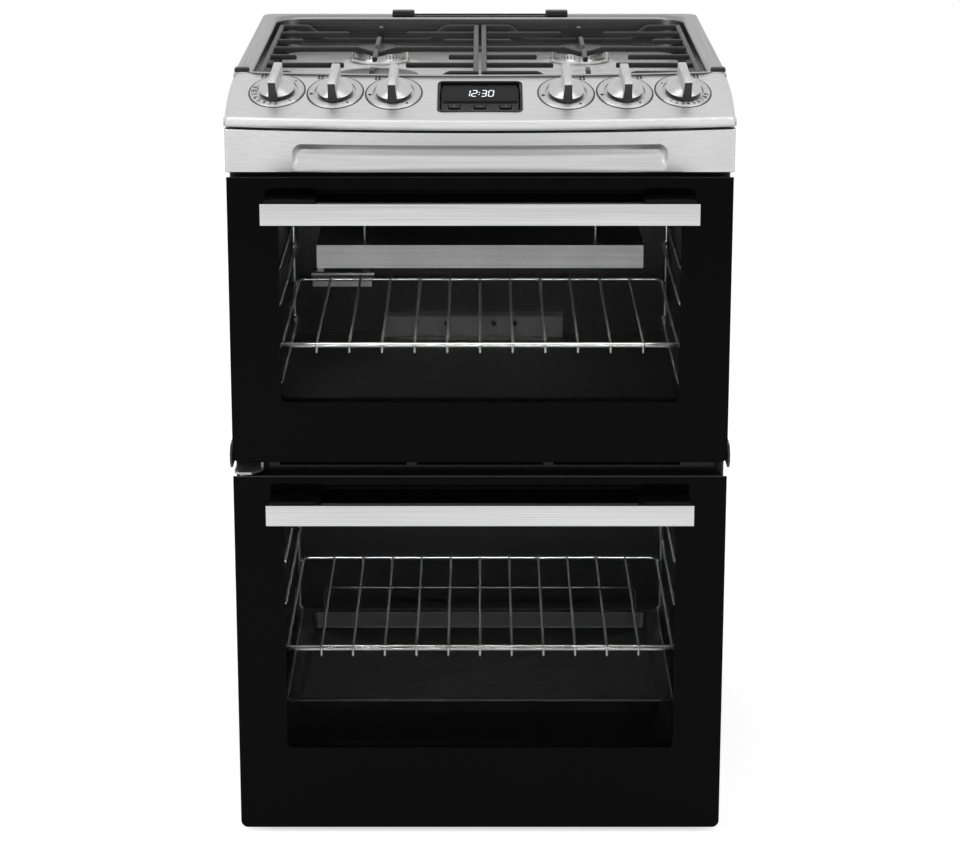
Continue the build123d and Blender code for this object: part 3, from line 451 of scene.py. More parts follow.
def terraces(outline, levels):
    """The outline once for each (height, inset), moved in by the inset along its inward normal."""
    outline = np.array(outline, float)
    after = np.roll(outline, -1, 0)
    along = unit(after - np.roll(outline, 1, 0))
    way = np.sign(np.sum(outline[:, 0] * after[:, 1] - outline[:, 1] * after[:, 0]))
    inward = np.stack([-along[:, 1], along[:, 0]], -1) * way
    level = 0 * outline[:, 0]
    rows = [np.column_stack([outline + inward * inset, level + z]) for z, inset in levels]
    return np.stack(rows)


def slab(outline, levels, finish=0):
    """An outline carried up its levels and closed at the bottom and the top."""
    return grid(capped(terraces(outline, levels)), True, finish)


# The bowed and sloping fascia, and the bowed strip under it

BOW, PANEL_HALF, LIP, SLOPE = 28.0, 299.0, 902.0, math.radians(25)
PANEL_FOOT, PANEL_DEEP = 891, 86
RISE = math.tan(SLOPE)
BOW_RADIUS = (PANEL_HALF**2 + BOW**2) / (2 * BOW)
BOW_CENTRE = FRONT - BOW + BOW_RADIUS
STRIP_FOOT, STRIP_TOP = 836.5, 888
KNOB_ACROSS = (-239, -170, -101, 101, 170, 239)
KNOB_ALONG, CLOCK_ALONG = 56.0, 50.5


def bow_y(run, x):
    """The y of the bowed line this far behind the lip: centre - sqrt((R - run)^2 - x^2)."""
    return BOW_CENTRE - np.sqrt((BOW_RADIUS - run) ** 2 - x**2)


def on_panel(across, along):
    """Puts points of (right, up the slope, out of it) on the fascia's slope at this spot."""
    radius = BOW_RADIUS - along * math.cos(SLOPE)
    turn = math.asin(across / radius)
    lean, stand = math.sin(SLOPE), math.cos(SLOPE)
    right = np.array([math.cos(turn), math.sin(turn), 0])
    out = np.array([lean * math.sin(turn), -lean * math.cos(turn), stand])
    origin = np.array([across, BOW_CENTRE - radius * math.cos(turn), LIP + along * lean])
    axes = np.stack([right, np.cross(out, right), out])
    return lambda points: origin + np.asarray(points) @ axes


def fascia_sheet():
    """The fascia over (profile, across): up the lip, round it, up the slope and down at the back.

    Half its width is 299 - 7 ((d - 8) / 82)^2.47 at the depth d. Round an end a point moves out
    by 6 sin a and back along the profile's normal by 6 (1 - cos a), then drops to the lip's foot.
    It is open behind the clock and behind each knob.
    """
    corner, clock_half, share_half = 6.0, 47.4, 293
    peak = LIP + PANEL_DEEP * RISE
    lip = rounded([(0, PANEL_FOOT), (0, LIP), (PANEL_DEEP, peak)], 4, 8)[:-1]
    runs = stations((5.6, 19, 7), (19, 72.5, 25), (72.5, 84.4, 6))
    back = rounded([(80, LIP + 80 * RISE), (PANEL_DEEP, peak), (PANEL_DEEP, 925)], 1.4, 4)[1:]
    profile = np.concatenate([lip, np.column_stack([runs, LIP + runs * RISE]), back])
    along = unit(np.gradient(profile, axis=0))
    normal = np.stack([-along[:, 1], along[:, 0]], -1)
    deep, high = profile[:, :1], profile[:, 1:]
    half = PANEL_HALF - 7 * (np.clip(deep * 1.018 - 8, 0, None) / 82) ** 2.47 - corner
    share = stations((-share_half, -clock_half, 60), (-clock_half, clock_half, 30),
                     (clock_half, share_half, 60)) / share_half
    turn = np.radians([22.5, 45, 67.5, 90])
    out, drop = half + corner * np.sin(turn), corner * (1 - np.cos(turn))
    end_run = deep - normal[:, :1] * drop
    end_z = np.maximum(high - normal[:, 1:] * drop, PANEL_FOOT)
    foot_run = end_run[:, -1:]
    foot_z = PANEL_FOOT + 0 * foot_run
    x = np.concatenate([-out[:, -1:], -out[:, ::-1], half * share, out, out[:, -1:]], 1)
    run = np.concatenate([foot_run, end_run[:, ::-1], deep + 0 * share, end_run, foot_run], 1)
    z = np.concatenate([foot_z, end_z[:, ::-1], high + 0 * share, end_z, foot_z], 1)
    sheet = grid(np.stack([x, bow_y(run, x), z], -1))
    sheet = without(sheet, (0, -270, LIP + 45.77 * RISE), (47.3, 60, 26.7 * RISE))
    for knob_x in KNOB_ACROSS:
        sheet = without(sheet, on_panel(knob_x, KNOB_ALONG)((0, 0, 0)), (8.5, 8.5, 8.5))
    return sheet


def strip_sheet():
    """The strip over (up, across): front - sag (1 - (x / 299)^2), and the sag grows with height.

    The pressed recess is a scoop: 7 sin(pi / 2 * in / 8) for the distance in from its edge, a
    rounded box with corners of 13 mm, and times an S up from its bottom.
    """
    end, end_round, back_deep = 296, 3, 36
    half, top, corner = 219.6, 872, 13.0
    heights = np.concatenate([[STRIP_FOOT], np.linspace(837.3, 887, 84), [887.7], [STRIP_TOP] * 3])
    backs = np.concatenate([[0.7], np.zeros(84), [0.3, 1, 9, 20]])
    wide = stations((0, 190, 60), (190, 226, 46), (226, end, 22))
    across = np.concatenate([-wide[:0:-1], wide])[None, :]
    up = heights[:, None]
    sag = BOW * np.clip((up - STRIP_FOOT) / (STRIP_TOP - STRIP_FOOT), 0.018, 1)
    past = np.clip(np.abs(across) - (half - corner), 0, None), np.clip(up - (top - corner), 0, None)
    edge = np.hypot(*past) - corner
    depth = 7 * np.sin(np.pi / 2 * np.clip(-edge / 8, 0, 1)) * smooth(up, 838, 859)
    y = -sag * (1 - (across / PANEL_HALF) ** 2) + depth + backs[:, None]
    turn = np.radians([30, 60, 90])
    side = end + end_round * np.sin(turn) + 0 * up
    ease = end_round * (1 - np.cos(turn)) + 0 * up
    x = np.concatenate([-side[:, -1:], -side[:, ::-1], across + 0 * up, side, side[:, -1:]], 1)
    left, right = y[:, :1], y[:, -1:]
    rows = [left + back_deep, left + ease[:, ::-1], y, right + ease, right + back_deep]
    y = FRONT + np.minimum(np.concatenate(rows, 1), 38)
    return grid(np.stack([x, y, up + 0 * x], -1))


UPWARD = (0, -0.4, 1)
piece("fascia_sheet", "cooker", [fascia_steel], [fascia_sheet()],
      ["control_fascia"], UPWARD, 1.2)
piece("strip_sheet", "cooker", [strip_steel], [strip_sheet()],
      ["trim_strip"], (0, -1, 0.2), 1.0)

# Knobs, the rings round them and their print: heights are out of the panel

KNOB_RADIUS, KNOB_FOOT, GRIP_TALL, GRIP_FRONT = 21.4, 3.6, 23.4, -22.3


def knob_cap():
    """The knob's steel cap over (radius, angle) with a wall under its rim, black as a painted shade.

    The top is a roof, 12.2 high within 5 mm of the middle and 6.2 at its sides, and it is domed
    down at the front and back: the roof's rise falls to a sixth by an S from 14 mm out to the rim.
    The wall's foot has a nose at the front, 2.6 cos(a / 2)^60 long at the angle a from the front.
    """
    angle = np.linspace(0, 2 * np.pi, 120, endpoint=False)
    nose = 2.6 * np.abs(np.cos((angle + np.pi / 2) / 2)) ** 60
    share = np.array([[0, 0.25, 0.5, 0.65, 0.71, 0.77, 0.83, 0.88, 0.92, 0.95, 0.985, 1.0]]).T
    fall = 0.9 * np.clip((share - 0.9) / 0.1, 0, 1) ** 4
    x, y = share * KNOB_RADIUS * np.cos(angle), share * KNOB_RADIUS * np.sin(angle)
    rise = 6 * np.clip((21.5 - np.abs(x)) / 16.5, 0, 1)
    top = 6.2 + rise * (1 - 0.83 * smooth(share * KNOB_RADIUS, 14, KNOB_RADIUS)) - fall
    rim, level = top[-1], 0 * nose
    radius = np.stack([KNOB_RADIUS + level, 20.9 + level, 20.9 + 0.5 * nose, 21.1 + nose,
                       21.1 + nose, level])
    height = np.stack([rim, rim - 0.3, 4.8 + level, 4.2 + level, KNOB_FOOT + level,
                       KNOB_FOOT + level])
    wall = np.stack([radius * np.cos(angle), radius * np.sin(angle), height], -1)
    return [grid(np.stack([x, y, top], -1), True, 0), grid(wall, True, 1)]


def knob_grip():
    """The grip: a rounded section whose front leans back as it rises; the plate in front of it is
    black, a painted shade.
    """
    height = np.array([[4.0, 10, 16, 22, 26, 26.7, 27.0]]).T
    inset = np.array([[0, 0, 0, 0, 0, 0.25, 0.8]]).T
    share = (height - KNOB_FOOT) / GRIP_TALL
    side, end = box(2, 2, (0.04, 0.3, 0.3, 0.04), 4).T
    near, far = GRIP_FRONT + 1.6 * share + inset, 20.3 + 1.2 * share - inset
    squarer = np.sign(end) * (1 - (1 - np.abs(end)) * 0.24)
    x = (5 - inset) * side
    y = (near + far) / 2 + (far - near) / 2 * squarer
    return grid(capped(np.stack([x, y, height + 0 * x], -1)), True, 0)


def knob_front_shade():
    """The plate in front of the grip, black as a painted shade: it widens downwards into the wall's
    nose.
    """
    height = np.array([[3.8, 4.6, 6, 9, 14, 20, 25.2, 25.8]]).T
    share = (height - KNOB_FOOT) / GRIP_TALL
    x = (4.6 + 1.5 * (1 - share) ** 3) * np.array([[-1, -1, -0.94, 0.94, 1, 1]])
    y = GRIP_FRONT + 1.6 * share - 0.35 + np.array([[2.5, 0.35, 0, 0, 0.35, 2.5]])
    return grid(capped(np.stack([x, y, height + 0 * x], -1)), True, 1)


for number, knob_x in enumerate(KNOB_ACROSS, start=1):
    place = on_panel(knob_x, KNOB_ALONG)
    shapes = [moved(g, place) for g in (*knob_cap(), knob_grip(), knob_front_shade())]
    # The second finish is black, a painted shade on the wall under the cap and on the grip's front.
    piece(f"knob_{number}_steel", f"knob_body_{number}", [turned_steel, knob_shade_black],
          shapes, [f"knob_{number}"])

ring_profile = [(24.0, -0.6), (24.0, 1.4), (24.3, 1.9), (25.0, 2.0), (30.8, 1.7), (31.9, 1.2),
                (32.5, 0.2), (32.5, -0.6), (24.0, -0.6)]
# A black ring just outside each ring: a painted shadow line round its edge.
ring_shadow_groove = [(32.3, -0.6), (34.0, -0.6), (34.0, 0.15), (32.4, 0.15), (32.3, -0.6)]
rings = [turned(ring_profile, sides=96), turned(ring_shadow_groove, finish=1, sides=96)]
piece("knob_rings", "cooker", [ring_steel, knob_shade_black],
      [moved(g, on_panel(x, KNOB_ALONG)) for x in KNOB_ACROSS for g in rings], ["knob_bezels"])


def rotation(turn):
    """Turns flat points by that angle, when they are multiplied by it."""
    c, s = math.cos(turn), math.sin(turn)
    return np.array([[c, s], [-s, c]])


def stamp(words, size, spot, turn, place, lift):
    """Letters laid flat at a spot of the fascia, turned by that angle and lifted a little."""
    curve = bpy.data.curves.new("print", "FONT")
    curve.body, curve.size, curve.align_x, curve.align_y = words, size, "CENTER", "CENTER"
    flat = bpy.data.meshes.new_from_object(bpy.data.objects.new("print", curve))
    work = bmesh.new()
    work.from_mesh(flat)
    bmesh.ops.triangulate(work, faces=work.faces)
    work.to_mesh(flat)
    work.free()
    points = np.empty(len(flat.vertices) * 3)
    flat.vertices.foreach_get("co", points)
    faces = np.empty(len(flat.polygons) * 3, int)
    flat.polygons.foreach_get("vertices", faces)
    laid = points.reshape(-1, 3)[:, :2] @ rotation(turn) + spot
    faces = faces.reshape(-1, 3)
    points = place(np.column_stack([laid, 0 * laid[:, 0] + lift]))
    return points, faces, np.zeros((len(faces), 6)), 0


def patch(outline, size, spot, turn, place, lift):
    """A flat shape at a spot of the fascia: its outline drawn in to its middle."""
    flat = np.array(outline, float) * size @ rotation(turn) + spot
    middle = flat.mean(0)
    rows = [np.column_stack([middle + (flat - middle) * k, 0 * flat[:, 0] + lift]) for k in (0, 1)]
    return moved(grid(np.stack(rows), True), place)


def around(angle, radius=27.6):
    """The spot at that angle on a knob's ring."""
    return radius * math.cos(math.radians(angle)), radius * math.sin(math.radians(angle))


LEFT_DIAL = (-46, -82, -97, -112, -128, -144, -160, -175, -190)
RIGHT_DIAL = (-130, -116, -102, -88, -74, -60, -47, -34, -21)
RING_PRINT, PANEL_PRINT = 2.05, 0.12
FLAME = [(0, -1), (0.62, -0.55), (0.55, 0.1), (0.1, 1.0), (0.05, 0.35), (-0.5, 0.3), (-0.62, -0.5)]
SQUARE = [(-1, -1), (1, -1), (1, 1), (-1, 1)]
prints = []
for knob_x in KNOB_ACROSS:
    place, left = on_panel(knob_x, KNOB_ALONG), knob_x < 0
    if knob_x in (KNOB_ACROSS[0], KNOB_ACROSS[-1]):
        for number, angle in zip("123456789", LEFT_DIAL if left else RIGHT_DIAL):
            upright = math.radians(angle + 90)
            prints.append(stamp(number, 8.4, around(angle, 27.9), upright, place, RING_PRINT))
        prints.append(patch(ring(1.1, 16), 1, around(46 if left else 146), 0, place, RING_PRINT))
    else:
        for size, angle, turn in ((2.9, -168, -78), (2.2, -52 if left else -58, 38)):
            prints.append(patch(FLAME, size, around(angle), math.radians(turn), place, RING_PRINT))
    for u in (-2.1, 2.1):
        for v in (-2.0, 2.0):
            spot = (-21.5 if left else 21.5) + u, 31 + v
            prints.append(patch(SQUARE, 1.35, spot, 0, place, PANEL_PRINT))
piece("control_print", "cooker", [print_black], prints, facing=UPWARD)

# Clock: rim, floor with its button openings, lens, lit strip and digits

CLOCK = on_panel(0, CLOCK_ALONG)
BUTTON_ACROSS, BUTTON_UP = (-30, 0, 30), -16.5


def clock_rim():
    """The rim: a profile of (height, in from the edge) carried round the clock's outline."""
    levels = [(-15, 1.4), (0.05, 1.4), (0.05, 0), (0.5, 0), (0.8, 0.4), (0.8, 1.8), (0.4, 2.5),
              (-3.5, 2.9), (-5, 2.9), (-15, 2.9), (-15, 1.4)]
    return moved(grid(terraces(box(99.4, 63.4, 6.5, 6), levels), True), CLOCK)


def clock_floor():
    """The floor 3.5 mm down: a flat grid with three openings for the buttons."""
    left = stations((-46.9, -36.8, 4), (-36.8, -23.2, 6), (-23.2, -6.8, 5))
    y = stations((-29, -19.8, 4), (-19.8, -13.2, 3), (-13.2, 29, 12))
    across, up = np.meshgrid(np.concatenate([left, -left[::-1]]), y)
    flat = grid(np.stack([across, up, 0 * up - 3.5], -1))
    for button_x in BUTTON_ACROSS:
        flat = without(flat, (button_x, BUTTON_UP, -3.5), (6.7, 3.2, 1))
    return moved(flat, CLOCK)


def clock_slab(outline, spot, levels, finish=0):
    """A slab on the clock with its outline about that spot."""
    return moved(slab(np.array(outline) + spot, levels, finish), CLOCK)


piece("clock_rim", "cooker", [gloss_black], [clock_rim()], ["clock_housing"])
piece("clock_floor", "cooker", [gloss_black], [clock_floor()],
      facing=UPWARD, wall=1.5)
piece("clock_strip", "cooker", [strip_grey],
      [clock_slab(box(75, 17.5, 1.0, 6), (0, 11.6), [(-3.4, 0), (-3.0, 0)])])
window = clock_slab(box(88, 33, 2.0, 6), (0, 9), [(-2.9, 0), (-1.9, 0), (-1.5, 0.5)])
piece("clock_window", "cooker", [clock_glass], [window], ["clock_lens"])

SEGMENTS = {"1": "bc", "2": "abged", "3": "abgcd", "0": "abcdef"}
SEGMENT_SPOTS = {  # across, up and whether the bar stands upright
    "a": (0, 2, 0), "b": (1, 1, 1), "c": (1, -1, 1), "d": (0, -2, 0), "e": (-1, -1, 1),
    "f": (-1, 1, 1), "g": (0, 0, 0),
}
BAR = [(-2.5, 0), (-1.9, -0.62), (1.9, -0.62), (2.5, 0), (1.9, 0.62), (-1.9, 0.62)]
FIGURE_UP, FIGURE_LEAN, FIGURE_LEVELS = 8.6, 0.1, [(-1.48, 0), (-1.42, 0)]


def digit(figure, centre_x):
    """A slanting figure of seven bars, each a thin slab with pointed ends."""
    bars = []
    for letter in SEGMENTS[figure]:
        across, up, upright = SEGMENT_SPOTS[letter]
        bar = np.array(BAR)[:, ::-1] * (1, 1.15) if upright else np.array(BAR)
        outline = bar + (across * 2.75, up * 3.05)
        outline[:, 0] += FIGURE_LEAN * outline[:, 1]
        bars.append(clock_slab(outline, (centre_x, FIGURE_UP), FIGURE_LEVELS))
    return bars


places = (("1", -14.6), ("2", -6.6), ("3", 4.6), ("0", 13.0))
figures = [bar for figure, x in places for bar in digit(figure, x)]
for up in (-2.2, 2.2):
    spot = (-0.9 + FIGURE_LEAN * up, FIGURE_UP + up)
    figures.append(clock_slab(ring(0.75), spot, FIGURE_LEVELS))
piece("clock_figures", "cooker", [lit_figures], figures)
for number, button_x in enumerate(BUTTON_ACROSS, start=1):
    outline = box(13, 6, 1.4, 6)
    keys = [clock_slab(outline, (button_x, BUTTON_UP), [(-7, 0), (-2.7, 0), (-2.35, 0.35)])]
    mark = np.array(SQUARE) * (1.2, 0.3) * (0.8 if number == 2 else 1)
    for line in (-1.5, 0, 1.5):
        keys.append(clock_slab(mark, (button_x, BUTTON_UP + line), [(-2.37, 0), (-2.3, 0)], 1))
    piece(f"clock_key_{number}", f"button_{number}",
          [gloss_black, mark_grey], keys, [f"clock_button_{number}"])

# Hob: one sheet from the skirt over the rim, down the basin's wall and over its raised rings

HOB_FLOOR, BURNER_FLOOR, CROWN_FOOT = 894, 898, 902
BURNERS = (  # x, depth, the base's radius, the cap's radius, the crown's height and the cap's
    (-127, 190, 60, 52, 15, 6), (129, 196, 30, 22.5, 9, 5),
    (-132, 460, 39.5, 32.5, 9, 5), (131, 460, 39.5, 32.5, 9, 5),
)


def hob_outline(half, back, gap, back_corner, front_corner, inset):
    """The hob's outline in plan: a bowed front edge, straight sides and back, rounded corners.

    The front edge takes an even share of the points, and all outlines match point by point.
    """
    half, back, run = half - inset, back - inset, PANEL_DEEP + gap + inset
    inner = half - front_corner
    lean = np.linspace(-1, 1, 91)[1:-1] * (inner - 0.01)
    front_line = np.column_stack([lean, bow_y(run, lean)])
    inner_edge = bow_y(run, inner - 0.01)
    rise = bow_y(run, half) + front_corner - inner_edge
    turn = np.linspace(0, np.pi / 2, 13)[:, None]
    right_front = np.column_stack([
        inner + front_corner * np.sin(turn), inner_edge + rise * (1 - np.cos(turn)),
    ])
    right_back = np.column_stack([
        half - back_corner + back_corner * np.cos(turn),
        FRONT + back - back_corner + back_corner * np.sin(turn),
    ])
    side_share = np.linspace(0, 1, 70)[1:-1, None]
    side = right_front[-1] + (right_back[0] - right_front[-1]) * side_share
    right = np.concatenate([right_front, side, right_back])
    rear_x = np.linspace(1, -1, 92)[1:-1, None] * (half - back_corner)
    rear = np.column_stack([rear_x, 0 * rear_x + FRONT + back])
    left = right[::-1] * (-1, 1)
    return np.concatenate([front_line, right, rear, left])


def hob_sheet():
    """Rows from the skirt's foot, over the rim with 3 mm and 7 mm roundings, down the wall and in.

    On the floor the rows shrink to the middle, and the height is 894 + 4 S, with S even from 0 at
    20 mm outside each burner's base to 1 at 2 mm outside it.
    """
    # half width, depth, gap behind the panel, back corner, front corner
    outer = (293.5, 595, 0.5, 14, 0.5)
    inner = (272, 573, 2.5, 34, 20)
    turn = np.radians(np.linspace(0, 90, 6))
    rows = [(outer, 0, 891), (outer, 0, 915)]
    rows += [(outer, 3 * (1 - math.cos(a)), 939 + 3 * math.sin(a)) for a in turn]
    rows += [(inner, -7 * (1 - math.sin(a)), 935 + 7 * math.cos(a)) for a in turn]
    rows += [(inner, 1.0, 920)]
    rows += [(inner, 2 + 12 * (1 - math.cos(a)), 906 - 12 * math.sin(a)) for a in turn]
    lines = [hob_outline(*outline, inset) for outline, inset, height in rows]
    heights = [np.full(len(lines[0]), height) for outline, inset, height in rows]
    edge, middle = lines[-1], np.array([0, FRONT + 330])
    for share in np.linspace(1, 0, 64)[1:]:
        flat = middle + (edge - middle) * share
        height = np.full(len(flat), float(HOB_FLOOR))
        for x, depth, base, *_ in BURNERS:
            away = np.hypot(flat[:, 0] - x, flat[:, 1] - FRONT - depth)
            height = height + (BURNER_FLOOR - HOB_FLOOR) * smooth(-away, -base - 20, -base - 2)
        lines.append(flat)
        heights.append(height)
    points = np.stack([np.column_stack(pair) for pair in zip(lines, heights)])
    # The skirt and rim take the second finish and the wall the third: the floor's steel painted
    # darker, as painted shade.
    return [grid(points[:13], True, 1), grid(points[12:20], True, 2), grid(points[19:], True, 0)]


piece("hob_sheet", "cooker", [hob_steel, rim_shaded_steel, wall_shaded_steel], hob_sheet(),
      ["hob_tray"], (0, 0, 1), 1.0)


def crown(radius, low, tall, centre):
    """The ported crown: its radius falls by 2 mm where cos(n a) is over 0.2, in the port band."""
    ports = int(2 * math.pi * radius / 5.2)
    angle = np.linspace(0, 2 * np.pi, ports * 8, endpoint=False)
    cut = np.where(np.cos(ports * angle) > 0.2, 2.0, 0.0)
    share = np.array([[0, 0, 0.22, 0.24, 0.78, 0.8, 1, 1]]).T
    reach = np.array([[0, 1.0, 0.6, 0, 0, 0.4, 0.2, 0]]).T
    hold = np.array([[0, 1, 1, 1, 1, 1, 1, 0]]).T
    band = np.array([[0, 0, 0, 1, 1, 0, 0, 0]]).T
    r = (radius + reach - band * cut) * hold
    x, y = centre[0] + r * np.cos(angle), centre[1] + r * np.sin(angle)
    return grid(np.stack([x, y, low + tall * share + 0 * r], -1), True)


spark_plug = [(0, 0), (2.4, 0), (2.4, 9.5), (1.9, 10.7), (0.7, 11), (0.7, 13.5), (0.4, 14.6),
              (0, 14.8)]
flame_probe = [(0, 0), (2.4, 0), (2.4, 2), (1.6, 2.4), (1.6, 9.5), (1.1, 10.8), (0, 11)]
bases, crowns, lids, plugs = [], [], [], []
for x, depth, base, cap, crown_tall, tall in BURNERS:
    y = FRONT + depth
    profile = [(0, 0.1), (base - 0.8, 0.1), (base, 0.8), (base, 2.6), (base - 1.2, 3.7),
               (base - 4, 4.0), (base - 8, 4.0), (0, 4.0)]
    bases.append(turned(profile, (x, y, BURNER_FLOOR), sides=96))
    crowns.append(crown(base - 7, CROWN_FOOT, crown_tall, (x, y)))
    profile = [(0, 0), (cap - 2, 0), (cap - 0.4, 0.5), (cap, 1.4), (cap, tall - 2),
               (cap - 0.7, tall - 0.7), (cap - 2.4, tall - 0.1), (cap * 0.72, tall),
               (cap * 0.7, tall - 0.5), (cap * 0.3, tall - 0.5), (0, tall - 0.5)]
    lids.append(turned(profile, (x, y, CROWN_FOOT + crown_tall), sides=96))
    plugs.append(turned(spark_plug, (x + base - 4, y, BURNER_FLOOR), sides=24))
    plugs.append(turned(flame_probe, (x - base + 4, y, BURNER_FLOOR), 1, 24))
piece("burner_rings", "cooker", [burner_metal], bases, ["burner_bases"])
piece("burner_ports", "cooker", [burner_metal], crowns, ["burner_crowns"])
piece("burner_lids", "cooker", [cap_enamel], lids, ["burner_caps"])
piece("spark_plugs", "cooker", [ceramic, zinc], plugs, ["spark_electrodes"])

# Pan supports: cast bars with rounded edges and tapering ends

BAR_LINE, LOW_LINE = 932, 914.5  # heights
OUTER_BAR, SPINE, MIDDLE_BAR = 264, 131, 5  # from the hob's middle
ROWS = [526 - 66 * row for row in range(7)]  # depths, from the back
FINGERS = {  # where each row's outer and inner finger end; the middle row runs right across
    "left": ((229, 46), (172, 96), (229, 46), None, (229, 39), (167, 91), (229, 39)),
    "right": ((222.5, 39.5), (162, 106), (222.5, 39.5), None, (185, 71), (167, 90), (185, 71)),
}


def cast_bar(points, radius=0.0, width=6.5, tips=0.0):
    """A cast bar along these points, with its corners rounded by the radius and its top 4 mm up."""
    path = rounded(points, radius) if radius else points
    return carried(path, box(width, 6.4, 1.7) + (0, 0.8), (0, 0, 1), tips=tips)


def across_bar(way, y, line, radius=0.0, tips=0.0):
    """A cast bar across the hob at that y, along a line of (x, height)."""
    return cast_bar([(way * x, y, z) for x, z in line], radius, tips=tips)


def along_bar(x, line, radius=0.0, width=6.0, tips=0.0):
    """A cast bar from front to back at that x, along a line of (depth, height)."""
    return cast_bar([(x, FRONT + depth, z) for depth, z in line], radius, width, tips)


for side, way in (("left", -1), ("right", 1)):
    bars = []
    for x in (OUTER_BAR, MIDDLE_BAR):
        line = [(ROWS[0] + 3.2, BAR_LINE), (ROWS[-1] - 3.2, BAR_LINE)]
        bars.append(along_bar(way * x, line, width=6.5, tips=0.9))
    for depth, ends in list(zip(ROWS, FINGERS[side]))[1:-1]:
        y = FRONT + depth
        if ends:
            for start, end in zip((OUTER_BAR, MIDDLE_BAR), ends):
                bars.append(across_bar(way, y, [(start, BAR_LINE), (end, BAR_LINE)], tips=1.2))
        else:
            dip = [(OUTER_BAR, BAR_LINE), (155, BAR_LINE), (135, 926), (127, 926),
                   (107, BAR_LINE), (MIDDLE_BAR, BAR_LINE)]
            bars.append(across_bar(way, y, dip, 9))
    for depth, (outer, inner), tip in (
        (ROWS[0], FINGERS[side][0], 498), (ROWS[-1], FINGERS[side][-1], 162)
    ):
        lean = 8 if tip > depth else -8
        dip = [(OUTER_BAR, BAR_LINE), (outer + 1, BAR_LINE), (outer - 22, LOW_LINE),
               (inner + 22, LOW_LINE), (inner - 1, BAR_LINE), (MIDDLE_BAR, BAR_LINE)]
        bars.append(across_bar(way, FRONT + depth, dip, 11))
        line = [(depth, LOW_LINE), (depth + lean, BAR_LINE), (tip, BAR_LINE)]
        bars.append(along_bar(way * SPINE, line, 7, tips=1.0))
    line = [(240, BAR_LINE), (310, BAR_LINE), (324, 927), (332, 927), (346, BAR_LINE),
            (418, BAR_LINE)]
    bars.append(along_bar(way * SPINE, line, 9, tips=1.2))
    for x in (259.5, 5.5):
        for depth in (ROWS[0], ROWS[-1]):
            leg = [(way * x, FRONT + depth, z) for z in (894.1, 896, 930)]
            bars.append(carried(leg, box(7, 7, 1.8), (0, 1, 0)))
    piece(side + "_cast_support", side + "_support", [support_iron], bars,
          [side + "_pan_support"])

# Wire shelves and the ladders that carry them

WIRE, THIN_WIRE = 2.3, 1.8
LADDER_X, LADDER_DEPTHS = 247.6, (75, 425)


def rod(points, radius, bend=6.0, closed=False):
    """Round wire along these points, bent at its corners and kept square to where it never goes."""
    path = rounded(points, bend, 6, closed)
    up = np.eye(3)[np.argmin(np.ptp(path, 0))]
    return carried(path, ring(radius), up, closed=closed)


for oven, height in (("upper", 611.5), ("lower", 221.5)):
    half, near, far, top = 241, FRONT + 60, FRONT + 423, height + 4.1
    frame_loop = [(half, near), (half, far), (-half, far), (-half, near)]
    wires = [rod([(x, y, height) for x, y in frame_loop], WIRE, 11, True)]
    wires.append(rod([(-half, near + 9, height), (half, near + 9, height)], WIRE, 0))
    for number in range(-5, 6):
        x, tip = number * 39.6, near - 3.9
        wires.append(rod([(x, far, top), (x, tip, top), (x, tip, height - 7)], THIN_WIRE, 3.5))
    piece(oven + "_wire_shelf", oven + "_shelf_body", [chrome], wires,
          [oven + "_shelf"], sharp=50)

LADDERS = (((560, 606.4, 660, 705), 545, 790), ((150, 216.4, 275, 330, 385), 122, 425))
ladders = []
for levels, low, high in LADDERS:
    for way in (-1, 1):
        for level in levels:
            bent = [(LADDER_X, 75), (243, 79.6), (243, 420.4), (LADDER_X, 425)]
            ladders.append(rod([(way * x, FRONT + depth, level) for x, depth in bent], WIRE, 3))
        for depth, level in zip(LADDER_DEPTHS, (low + 22, high - 22)):
            x, y = way * LADDER_X, FRONT + depth
            ladders.append(rod([(x, y, low), (x, y, high)], WIRE, 0))
            stud = [(x, y, level), (way * 258, y, level)]
            ladders.append(carried(stud, ring(WIRE), (0, 0, 1)))
piece("ladder_wires", "cooker", [chrome], ladders, ["shelf_ladders"], sharp=50)

# Tray: an enamelled pan with a rolled rim, and its wire guard at the back


def tray_shell():
    """Rows of rounded rectangles from the underside out, round the rim's bead and down inside.

    Each row is (half width, half depth, corner, height); the bead is 242.5 + 1.4 cos a across and
    153.95 + 1.4 sin a up.
    """
    turn = np.radians(np.linspace(-140, 130, 12))
    bead = [(242.5 + 1.4 * c, 172.5 + 1.4 * c, 8, 153.95 + 1.4 * s)
            for c, s in zip(np.cos(turn), np.sin(turn))]
    under = [(0.5, 0.5, 0.1, 132), (225, 155, 10, 132), (227.5, 157.5, 11, 133),
             (231, 161, 14, 154), (240, 170, 8, 154)]
    inside = [(240, 170, 8, 155), (230.2, 160.2, 14, 155), (229, 159, 13.5, 154.4),
              (228.4, 158.4, 13, 153), (225.6, 155.6, 10, 136), (224.6, 154.6, 9, 134),
              (222.5, 152.5, 8, 133.1), (0.5, 0.5, 0.1, 133)]
    rows = []
    for half, deep, corner, height in under + bead + inside:
        x, y = box(2 * half, 2 * deep, corner, 6).T
        rows.append(np.stack([x, y + FRONT + 230, 0 * x + height], -1))
    shell = capped(np.stack(rows))
    return [grid(shell[:6], True, 0), grid(shell[5:19], True, 1), grid(shell[18:], True, 0)]


guard = [(x, FRONT + 400, z) for x, z in ((-212, 154.5), (-212, 186), (212, 186), (212, 154.5))]
piece("tray_shell", "tray_body", [black_enamel, rim_enamel], tray_shell(),
      ["enamel_tray"])
piece("tray_guard", "tray_body", [rim_enamel], [rod(guard, 2.0, 8)], sharp=50)

# Handles: a brushed plate with eased edges on two moulded posts

